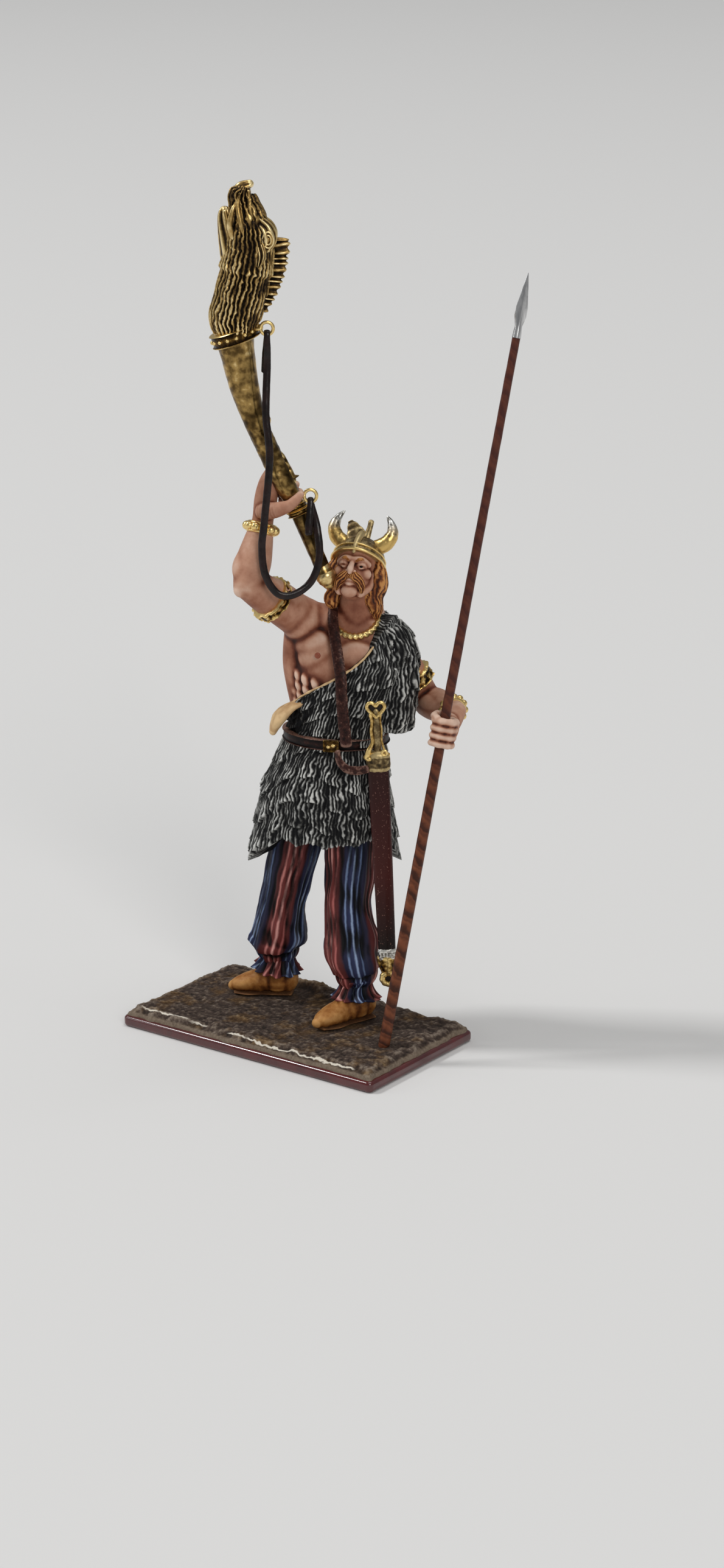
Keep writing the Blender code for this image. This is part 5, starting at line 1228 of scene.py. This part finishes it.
def makeSword():
    guard, end = vec(swordLook["guard"]), vec(swordLook["end"])
    down = (end - guard).normalized()
    flat = (across - down * down.dot(across)).normalized()
    out = flat.cross(down)
    if out.dot(hornSide) < 0:
        out = -out
    wide, thick = swordLook["halfWidth"], swordLook["halfThick"]
    mouth, tip = guard + down * 0.45, end + down * 1.2
    bm = bmesh.new()

    def ribbed(t, around, place):
        return 0.05 * (bump(around, math.pi / 2, 0.2) + bump(around, -math.pi / 2, 0.2))

    sweep(bm, [mouth, mouth.lerp(tip, 0.5), tip], [wide, wide * 0.92, wide * 0.8],
          [thick, thick * 0.95, thick * 0.85], flat, 60, 60, 5, ribbed)
    material, tree, shader = newPaint("scabbard leather", 0.36)
    darker = rampOf(tree, sums(tree, "MULTIPLY", placeParts(tree)["Z"], 30.0),
                    ((0.35, (0.010, 0.006, 0.005)), (0.62, (0.056, 0.011, 0.009)),
                     (0.95, (0.030, 0.008, 0.007))))
    speck = rampOf(tree, grainOf(tree, 0.22, 2.0), ((0.64, 0.0), (0.7, 0.6)))
    colourBy(tree, shader, mixed(tree, speck, darker, (0.35, 0.18, 0.14)))
    roughen(tree, shader, grainOf(tree, 0.4), 0.3, 0.04)
    finished("scabbard", bm, material, "sword", rounds=5)
    bm = bmesh.new()
    worked = lambda t, around, place: 0.05 * noise.noise(place * 3.0)
    sweep(bm, [mouth, mouth + down * 1.25], [wide * 1.13] * 2, [thick * 1.2] * 2, flat, 60, 30, 5, worked)
    sweep(bm, [guard - down * 0.2, guard.lerp(guard - down * 5, 0.5), guard - down * 4.9], [0.42, 0.5, 0.38],
          [0.4, 0.46, 0.36], flat, 36, 40, 4)
    finished("grip_and_scabbard_mouth", bm, bronze, "sword", rounds=6, reach=0.06)
    bm = bmesh.new()
    top = guard - down * swordLook["gripLength"]
    # the heart of the pommel, one cord bent to its outline
    heart = [(0.0, 0.55), (-0.62, -0.05), (-0.98, -0.62), (-0.78, -1.08), (-0.35, -1.1), (0.0, -0.78),
             (0.35, -1.1), (0.78, -1.08), (0.98, -0.62), (0.62, -0.05), (0.0, 0.55)]
    limb(bm, [top + flat * right + down * low + out * 0.25 for right, low in heart], (0.21,) * 11, 18, 110,
         cap=2)
    # the gold edge down the left of the grip that spreads over the guard, and a thin one at its right
    spread = ((1.2, 0.45), (1.0, -0.35), (0.55, -1.3), (0.62, -2.6), (0.5, -3.7), (0.62, -4.45))
    limb(bm, [guard - flat * reach + down * low + out * 0.3 for reach, low in spread],
         (0.34, 0.3, 0.2, 0.18, 0.18, 0.22), 20, 60)
    thin = ((0.75, -0.3), (0.5, -1.5), (0.55, -2.7), (0.45, -3.8), (0.5, -4.45))
    limb(bm, [guard + flat * reach + down * low + out * 0.2 for reach, low in thin],
         (0.16, 0.11, 0.11, 0.1, 0.14), 16, 50)
    limb(bm, (guard - flat * 1.25 + down * 0.5, guard + down * 0.3 + out * 0.1,
              guard + flat * 1.05 + down * 0.3), (0.38, 0.3, 0.32), 28, 36)
    hoop(bm, guard + flat * 0.75 + out * 0.55 - down * 0.1, (flat, down, out), (0.27, 0.27),
         roundProfile(0.15, 0.16, 10), 36)
    ball(bm, guard - flat * 1.05 + out * 0.4 + down * 0.55, (0.42, 0.36, 0.36))
    finished("pommel_and_guard", bm, gold, "sword", rounds=5, reach=0.05)
    bm = bmesh.new()
    sweep(bm, [end - down * 0.5, end + down * 0.25], [wide * 0.9] * 2, [thick * 1.08] * 2, flat, 60, 24, 4,
          lambda t, around, place: 0.08 * noise.noise(place * 4.0))
    steelBand = washedPaint("silvered band", ((0.2, (0.02, 0.018, 0.016)), (0.5, (0.20, 0.18, 0.15)),
                                              (0.8, (0.8, 0.78, 0.72))), 0.35, 0.9, grain=0.2, jitter=0.8)
    finished("scabbard_band", bm, steelBand, "sword", rounds=5, reach=0.05)
    bm = bmesh.new()
    sweep(bm, [end + down * 0.3, end + down * 1.1, end + down * 1.9],
          [wide * 0.94, wide * 0.86, wide * 0.62], [thick * 1.1, thick, thick * 0.8], flat, 60, 40, 4,
          lambda t, around, place: 0.09 * math.cos(around * 4) + 0.04 * noise.noise(place * 3))
    hoop(bm, end + down * 2.85, (flat, down, out), (0.66, 0.66), roundProfile(0.36, 0.42), 60,
         lambda around, o, up: 0.03 * math.sin(around * 9))
    finished("chape", bm, gold, "sword", rounds=6, reach=0.06)
    bm = bmesh.new()
    # near-black discs in the hole of the chape's ring and in the openings of the pommel's heart: painted
    # shade inside those hollows
    ball(bm, end + down * 2.85, (0.55, 0.2, 0.55), (flat, out, down))
    for side in (-1, 1):
        ball(bm, top + flat * (side * 0.42) - down * 0.55 + out * 0.05, (0.5, 0.26, 0.5), (flat, out, down))
    ball(bm, top + out * 0.05, (0.35, 0.24, 0.45), (flat, out, down))
    pitShadePaint = washedPaint("pit shade", ((0.2, (0.004, 0.003, 0.002)), (0.8, (0.02, 0.012, 0.008))), 0.5)
    finished("pit_shade", bm, pitShadePaint, "sword")


makeSword()
print("sword done")


# Spear

spearLook = {"foot": 0.65, "head": 0.45, "length": 80.6}


def makeSpear():
    foot, length = vec(*spearFoot, 0), spearLook["length"]
    bm = bmesh.new()
    shares = (0.0, 0.25, 0.5, 0.75, 1.0)
    line = [foot + spearLean * (length * share) for share in shares]
    radii = [spearLook["foot"] + (spearLook["head"] - spearLook["foot"]) * share for share in shares]
    hewn = lambda t, around, place: 0.02 * noiseAt(place.x * 1.5, place.y * 1.5, place.z * 0.75)
    grain = {"spiral": lambda t, around: t * length / 1.9 + around / math.tau + 1}
    sweep(bm, line, radii, radii, across, 20, 300, 3, hewn, marks=grain)
    for vert in bm.verts:
        vert.co.z = max(vert.co.z, -0.15)
    material, tree, shader = newPaint("grained spear shaft", 0.4)
    spiral = sums(tree, "ADD", readMark(tree, "spiral"), drift(tree, grainOf(tree, 1.4), 0.9))
    wood = rampOf(tree, sums(tree, "FRACT", spiral, 0.0),
                  ((0.0, (0.05, 0.018, 0.011)), (0.16, (0.06, 0.02, 0.012)), (0.34, (0.14, 0.044, 0.021)),
                   (0.55, (0.20, 0.064, 0.029)), (0.72, (0.11, 0.035, 0.018)), (0.86, (0.16, 0.05, 0.024)),
                   (1.0, (0.035, 0.012, 0.008))))
    high = rampOf(tree, sums(tree, "MULTIPLY", placeParts(tree)["Z"], 12.0), ((0.25, 0.0), (0.6, 0.65)))
    colourBy(tree, shader, mixed(tree, high, wood, (0.085, 0.026, 0.022)))
    roughen(tree, shader, grainOf(tree, 0.35, 3.0, (1, 1, 0.25)), 0.3, 0.03)
    finished("shaft", bm, material, "spear_shaft", rounds=4)
    base = foot + spearLean * (length - 0.1)
    flat = (across - spearLean * spearLean.dot(across)).normalized()
    bm = bmesh.new()
    stops = ((0.0, 0.5, 0.5), (0.6, 0.46, 0.46), (1.3, 0.4, 0.38), (2.4, 0.66, 0.34), (3.4, 0.64, 0.3),
             (5.6, 0.3, 0.18), (7.15, 0.03, 0.03))
    made = bmesh.ops.create_circle(bm, segments=16, radius=1.0, cap_ends=True)
    face = made["verts"][0].link_faces[0]
    through = spearLean.cross(flat)
    for index, (rise, wide, deep) in enumerate(stops):
        if index:
            face = bmesh.ops.extrude_discrete_faces(bm, faces=[face])["faces"][0]
        blade = soft(rise, 1.2, 2.4)
        for step, loop in enumerate(face.loops):
            angle = math.tau * step / 16
            pinch = 1 - blade * (0.28 * math.sin(2 * angle) ** 2)
            outward = flat * (math.cos(angle) * wide * pinch) + through * (math.sin(angle) * deep * pinch)
            loop.vert.co = base + spearLean * rise + outward
    bmesh.ops.remove_doubles(bm, verts=bm.verts, dist=0.001)
    bmesh.ops.recalc_face_normals(bm, faces=bm.faces)
    steel, tree, shader = newPaint("bright steel", 0.24, 1.0)
    steelStops = ((0.3, (0.42, 0.42, 0.43)), (0.6, (0.80, 0.80, 0.80)))
    colourBy(tree, shader, rampOf(tree, grainOf(tree, 0.8, 3.0, (1, 1, 0.3)), steelStops))
    roughen(tree, shader, grainOf(tree, 0.3), 0.12, 0.03)
    finished("spear_blade", bm, steel, "spearhead", rounds=2, sharp=28)


makeSpear()
print("spear done")


# Boar-headed horn

hornLook = {"mouth": 0.95, "grip": 1.2, "top": 2.25, "maneStrands": 33, "maneHeight": 0.36}

hornPaint = washedPaint("horn brass",
                        ((0.28, (0.010, 0.006, 0.003)), (0.54, (0.045, 0.026, 0.008)),
                         (0.7, (0.13, 0.077, 0.024)), (0.88, (0.42, 0.27, 0.09)), (1.0, (0.80, 0.60, 0.28))),
                        0.3, 0.95, grain=1.5, jitter=0.9, relief=0.3)
maneStops = ((0.28, (0.007, 0.004, 0.002)), (0.44, (0.032, 0.018, 0.007)), (0.6, (0.14, 0.082, 0.025)),
             (0.78, (0.48, 0.31, 0.105)), (0.96, (0.92, 0.73, 0.38)))
manePaint = washedPaint("boar gold", maneStops, 0.34, 0.85, grain=0.5, jitter=0.4, relief=0.2)
maneStrandPaint = strandPaint("boar gold strands", maneStops, 0.34, 0.85, 0.3)


def hornPlace(outward, up, cheek=0.0):
    return hornLine[-1] + hornBack * outward + Vector((0, 0, up)) + hornSide * cheek


def hornPoints(*points):
    return [hornPlace(*point) for point in points]


def makeTube():
    mouth, grip, top = hornLook["mouth"], hornLook["grip"], hornLook["top"]
    bm = bmesh.new()
    radii = [mouth * 0.86, mouth, grip, grip * 1.05, grip + (top - grip) * 0.38, top * 0.86, top]

    def hammered(t, around, place):
        # rougher along the middle of the tube
        fine = 1.5 if 0.25 < t < 0.5 else 0.6
        return 0.035 * noise.noise(place * 1.3) + 0.03 * noise.noise(place * 3.1) * fine

    sweep(bm, hornLine, radii, radii, hornSide, 56, 180, 6, hammered)
    start, way = hornLine[0], (hornLine[1] - hornLine[0])
    sweep(bm, [start - way * 0.07, start + way * 0.015], [mouth * 0.8, mouth * 1.22],
          [mouth * 0.8, mouth * 1.22], hornSide, 48, 16, 5)
    sweep(bm, [start + way * 0.01, start + way * 0.14], [mouth * 1.16, mouth * 0.95],
          [mouth * 1.16, mouth * 0.95], hornSide, 48, 20, 4)
    # boss, stud and small spike on the back of the tube
    boss = hornLine[3].lerp(hornLine[4], 0.1) + hornBack * (grip * 0.95)
    ball(bm, boss, (0.5, 0.45, 1.2), relief=lambda reach: 0.08 * math.sin(reach.z * 7))
    ball(bm, boss + vec(0.25, -0.1, -1.0), (0.35, 0.35, 0.4))
    limb(bm, (hornLine[2].lerp(hornLine[3], 0.06) + hornBack * grip * 0.8,
              hornLine[2].lerp(hornLine[3], 0.1) + hornBack * (grip + 0.75)), (0.42, 0.08), 20, 14)
    limb(bm, (hornLine[2].lerp(hornLine[3], 0.5) + hornBack * (grip * 0.95),
              hornLine[2].lerp(hornLine[3], 0.2) + hornBack * (grip * 1.0),
              hornLine[2] + hornBack * (grip * 0.9)), (0.25, 0.38, 0.4), 24, 30,
         relief=lambda t, around, place: 0.1 * noise.noise(place * 2.5))
    finished("horn_tube", bm, hornPaint, "boar_horn", rounds=10, reach=0.09)
    bm = bmesh.new()
    up = way.normalized()
    first = up.cross(Vector((0.6, -0.8, 0.1))).normalized()
    for share in (0.97, 1.05):
        hoop(bm, start + way * share, (first, up.cross(first), up), (mouth * 1.06, mouth * 1.06),
             bandProfile(0.34, 0.33, 0.1), 72)
    finished("horn_ferrules", bm, gold, "boar_horn", rounds=5, reach=0.05)
    # collar with its studs, and the knob at the front
    tilt = (Vector((0, 0, 1)) - hornBack * 0.33).normalized()
    ways = (hornSide, tilt.cross(hornSide), tilt)
    crown = hornLine[-1] + vec(0.05, 0.03, 0.35)
    bm = bmesh.new()
    hoop(bm, crown, ways, (2.3, 2.4), bandProfile(0.4, 0.8, 0.16), 120,
         lambda around, out, up: 0.03 * noiseRound(around, 5, up * 3))
    for index in range(16):
        angle = math.tau * index / 16 + 0.1
        ball(bm, crown + ways[0] * (math.cos(angle) * 2.52) + ways[1] * (math.sin(angle) * 2.62),
             (0.22, 0.22, 0.22), sides=14, rings=10)
    ball(bm, crown + ways[1] * 2.85 - tilt * 0.1, (0.38, 0.38, 0.38))
    finished("horn_collar", bm, gold, "boar_horn", rounds=6, reach=0.06)


def makeBoar():
    bm = bmesh.new()
    stops = ((0.1, 1.0, 1.9, 1.9), (0.1, 2.4, 2.35, 2.3), (0.75, 4.6, 2.5, 2.4), (1.2, 6.5, 2.5, 2.3),
             (1.55, 8.3, 2.4, 2.15), (1.8, 10.0, 2.4, 2.1), (1.8, 11.6, 2.35, 2.05), (1.6, 13.2, 1.95, 1.8),
             (1.3, 14.6, 1.6, 1.45), (1.05, 15.6, 1.3, 1.25), (1.3, 16.3, 0.95, 1.1))
    count, tall = hornLook["maneStrands"], hornLook["maneHeight"]

    def mane(t, around, place):
        # two tiers of long locks, then long grooves up the snout
        lower = 1 - soft(t, 0.34, 0.37)
        upper = soft(t, 0.33, 0.36) * (1 - soft(t, 0.66, 0.8))
        tier = lower * (0.15 + 0.85 * (1 - t / 0.36)) + upper * (0.1 + 0.9 * (1 - clamp((t - 0.33) / 0.34)))
        strand = strandsOf(around, place, place.z, count, 4.0, 0.5, 2.2, 0.4)
        groove = strandsOf(around, place, place.z, 17, 9.0, 0.5, 4.0, 0.3) * soft(t, 0.6, 0.7)
        crest = max(strand * (1 - soft(t, 0.6, 0.74)), groove)
        return tier * 0.45 + tall * crest * (1 - soft(t, 0.93, 1.0)) - 0.15, crest * (0.8 + 0.2 * tier)

    line = [hornPlace(stop[0], stop[1]) for stop in stops]
    sweep(bm, line, [stop[2] for stop in stops], [stop[3] for stop in stops], hornBack, 220, 165, 6, mane,
          even=False, dome=0.5)
    finished("boar_head", bm, maneStrandPaint, "boar_horn", rounds=10, reach=0.11, sharp=180)
    bm = bmesh.new()
    # lower jaw, lips, nose pad, brows, ears and tusks
    grooved = lambda t, around, place: 0.1 * math.sin(around * 7 + t * 3)
    limb(bm, hornPoints((0.0, 9.0), (-0.4, 11.4), (-0.75, 13.2), (-0.75, 13.9)), (1.4, 1.2, 0.85, 0.6), 60,
         60, 0.9, hornSide, grooved)
    limb(bm, hornPoints((0.3, 15.7), (1.1, 16.4), (2.0, 16.8)), (0.5, 0.72, 0.5), 44, 44, 0.9, hornSide,
         lambda t, around, place: 0.06 * math.sin(around * 4))
    for cheek in (-1, 1):
        # bulging brow with a ringed eye, a low ear laid into the mane, then the tusks and the lips
        limb(bm, hornPoints((2.6, 13.2, cheek * 0.9), (3.6, 12.1, cheek * 1.0), (3.85, 11.0, cheek * 1.0),
                            (3.6, 9.9, cheek * 1.2)), (0.45, 0.85, 0.95, 0.5), 40, 50, 0.85, hornBack,
             grooved)
        eye = hornPlace(3.9, 11.0, cheek * 1.62)
        for wide, tall, wire in ((0.34, 0.5, 0.12), (0.6, 0.85, 0.13)):
            hoop(bm, eye, (hornBack, Vector((0, 0, 1)), hornSide * cheek), (wide, tall),
                 roundProfile(wire, wire * 1.6, 10), 40)
        ball(bm, eye - hornSide * (cheek * 0.08), (0.26, 0.26, 0.36))
        limb(bm, hornPoints((2.9, 10.6, cheek * 1.8), (3.1, 9.4, cheek * 2.15), (2.8, 8.2, cheek * 2.3)),
             (0.4, 0.5, 0.2), 40, 40, 0.45, hornBack, grooved)
        limb(bm, hornPoints((0.1, 11.2, cheek * 1.4), (-0.2, 12.6, cheek * 1.6), (0.15, 14.2, cheek * 1.5),
                            (0.6, 15.0, cheek * 1.2)), (0.34, 0.32, 0.24, 0.1), 24, 40)
        limb(bm, hornPoints((0.9, 15.9, cheek * 0.9), (0.7, 14.6, cheek * 1.45), (1.0, 12.8, cheek * 1.85),
                            (1.3, 11.4, cheek * 2.0)), (0.2, 0.26, 0.28, 0.12), 24, 50)
        limb(bm, hornPoints((1.9, 16.1, cheek * 0.8), (2.0, 14.4, cheek * 1.35), (2.4, 12.9, cheek * 1.55)),
             (0.16, 0.24, 0.2), 24, 40)
        limb(bm, hornPoints((-0.7, 13.9, cheek * 0.6), (-0.4, 12.4, cheek * 1.15), (-0.1, 10.2, cheek * 1.6)),
             (0.2, 0.24, 0.16), 24, 40)
    finished("boar_face", bm, manePaint, "boar_horn", rounds=10, reach=0.09, sharp=180)
    bm = bmesh.new()
    centres, halves = [], []
    for index in range(7):
        share = index / 6
        root = hornPlace(3.0 - 0.5 * share ** 2, 10.2 - 7.2 * share)
        tip = hornPlace(6.05 - 2.5 * share ** 2, 11.4 - 8.4 * share)
        centres.append(root.lerp(tip, 0.5))
        halves.append((tip - root).length / 2)

    def fluted(t, around, place):
        waves = 0.14 * math.sin(t * 78 + 0.9 * math.sin(t * 23) + 1.6 * math.cos(around))
        return (waves + 0.1 * noise.noise(place * 1.5)) * soft(t, 0.0, 0.04)

    limb(bm, centres, halves, 48, 190, 0.16, hornBack, fluted, cap=8)
    finished("boar_crest", bm, manePaint, "boar_horn", rounds=5, reach=0.05)


ringLook = {"upper": (-2.1, -0.45, 79.7), "upperLug": (-4.2, -1.5, 79.3), "upperTail": (-2.6, -0.3, 74.9),
            "lower": (2.0, 1.55, 61.2), "lowerLug": (0.1, 1.4, 60.6), "lowerTail": (2.5, 0.5, 57.2),
            "wire": 0.19, "inner": 0.5}
strapLook = {
    "line": ((-1.75, -1.0, 75.3), (-1.3, -1.9, 70.5), (-0.6, -2.3, 65.7), (-0.7, -3.3, 58.9),
             (-0.8, -3.7, 55.9), (-0.3, -3.8, 53.0), (0.8, -3.1, 50.9), (2.1, -1.9, 50.7),
             (3.3, -0.3, 52.0), (3.8, 0.65, 54.5), (3.3, 1.1, 57.4)),
    "halfWidth": 0.42, "halfThick": 0.24, "foldHalfWidth": 0.34, "foldHalfThick": 0.16,
}


def makeRingsAndStrap():
    bm = bmesh.new()
    half = ringLook["inner"] + ringLook["wire"]
    for key in ("upper", "lower"):
        centre = vec(ringLook[key])
        hoop(bm, centre, (across, Vector((0, 0, 1)), hornSide), (half, half),
             roundProfile(ringLook["wire"], ringLook["wire"], 12), 48)
        near = centre - across * half
        limb(bm, (vec(ringLook[key + "Lug"]), near), (0.3, 0.22), 20, 16)
    finished("strap_rings", bm, gold, "boar_horn", rounds=5, reach=0.04)
    turn = ringLook["wire"] + 0.05 + strapLook["foldHalfThick"]
    folds = []
    for key in ("upper", "lower"):
        bar = vec(ringLook[key]) - vec(0, 0, half)
        folds.append([bar - hornSide * (math.cos(angle) * turn) + vec(0, 0, math.sin(angle) * turn)
                      for angle in (math.radians(degree) for degree in (0, 45, 90, 135, 180))])
    upper, lower = folds
    main = [vec(point) for point in strapLook["line"]]
    line = ([vec(ringLook["upperTail"]), vec(ringLook["upperTail"]).lerp(upper[0], 0.5)] + upper
            + [upper[-1].lerp(main[0], 0.4)] + main + [lower[0].lerp(main[-1], 0.4)] + lower
            + [lower[-1].lerp(vec(ringLook["lowerTail"]), 0.5), vec(ringLook["lowerTail"])])
    count = len(line)
    narrow = [2 <= index <= 6 or count - 7 <= index <= count - 3 for index in range(count)]
    widths = [strapLook["foldHalfWidth" if tight else "halfWidth"] for tight in narrow]
    depths = [strapLook["foldHalfThick" if tight else "halfThick"] for tight in narrow]
    bm = bmesh.new()
    side = lambda t, ahead: -across if t < 0.28 else (across if t > 0.72 else ahead.cross(hornSide))
    sweep(bm, line, widths, depths, side, 18, 320, 3,
          lambda t, around, place: 0.02 * noise.noise(place * 1.5))
    material, tree, shader = newPaint("glossy strap", 0.25)
    shader.inputs["Specular IOR Level"].default_value = 0.3
    strapStops = ((0.35, (0.006, 0.004, 0.004)), (0.7, (0.022, 0.010, 0.009)))
    colourBy(tree, shader, rampOf(tree, grainOf(tree, 1.2), strapStops))
    roughen(tree, shader, grainOf(tree, 0.3), 0.35, 0.03)
    finished("carrying_strap", bm, material, "horn_strap", rounds=3)


makeTube()
makeBoar()
makeRingsAndStrap()
print("horn and strap done")


# Room, lights and camera

roomLook = {"floor": (0.80, 0.795, 0.785), "world": (0.9, 0.91, 0.92), "worldStrength": 0.26}


def makeRoom():
    bm = bmesh.new()
    bmesh.ops.create_grid(bm, x_segments=1, y_segments=1, size=6.0)
    mesh = bpy.data.meshes.new("floor")
    bm.to_mesh(mesh)
    bm.free()
    floor = bpy.data.objects.new("floor", mesh)
    bpy.context.scene.collection.objects.link(floor)
    material, tree, shader = newPaint("pale floor", 0.9)
    shader.inputs["Base Color"].default_value = (*roomLook["floor"], 1.0)
    mesh.materials.append(material)
    world = bpy.data.worlds.new("studio")
    bpy.context.scene.world = world
    world.use_nodes = True
    sky = world.node_tree.nodes["Background"]
    sky.inputs["Color"].default_value = (*roomLook["world"], 1.0)
    sky.inputs["Strength"].default_value = roomLook["worldStrength"]


def makeLight(name, place, aim, size, watts, tint=(1, 1, 1)):
    data = bpy.data.lights.new(name, "AREA")
    data.shape, data.size, data.energy, data.color = "SQUARE", size, watts, tint
    light = bpy.data.objects.new(name, data)
    light.location = place
    light.rotation_mode = "QUATERNION"
    light.rotation_quaternion = (Vector(aim) - Vector(place)).to_track_quat("-Z", "Y")
    bpy.context.scene.collection.objects.link(light)


cameraLook = {"place": (0.238616, -0.304241, 0.153771), "lens": 82.45, "right": (0.80120, 0.59831, -0.01031),
              "up": (-0.17446, 0.25002, 0.95239), "back": (0.57240, -0.76126, 0.30470)}


def makeCamera():
    data = bpy.data.cameras.new("camera")
    data.sensor_fit, data.sensor_width, data.sensor_height, data.lens = "VERTICAL", 36, 36, cameraLook["lens"]
    data.clip_start, data.clip_end = 0.01, 50
    camera = bpy.data.objects.new("camera", data)
    turn = Matrix([cameraLook[way] for way in ("right", "up", "back")]).transposed()
    camera.matrix_world = Matrix.Translation(cameraLook["place"]) @ turn.to_4x4()
    bpy.context.scene.collection.objects.link(camera)
    bpy.context.scene.camera = camera


makeRoom()
makeLight("key softbox", (-1.55, -0.83, 2.06), (0, 0, 0.04), 0.42, 25.0)
makeLight("top softbox", (0.3, 0.3, 2.7), (0, 0, 0.04), 1.5, 18.0)
makeLight("front softbox", (2.2, -1.5, 1.5), (0, 0, 0.05), 1.0, 24.0, (1.0, 0.985, 0.96))
makeLight("left fill", (-2.2, -1.6, 1.0), (0, 0, 0.05), 0.9, 6.0, (0.96, 0.98, 1.0))
makeCamera()
bpy.context.scene.view_settings.view_transform = "Standard"
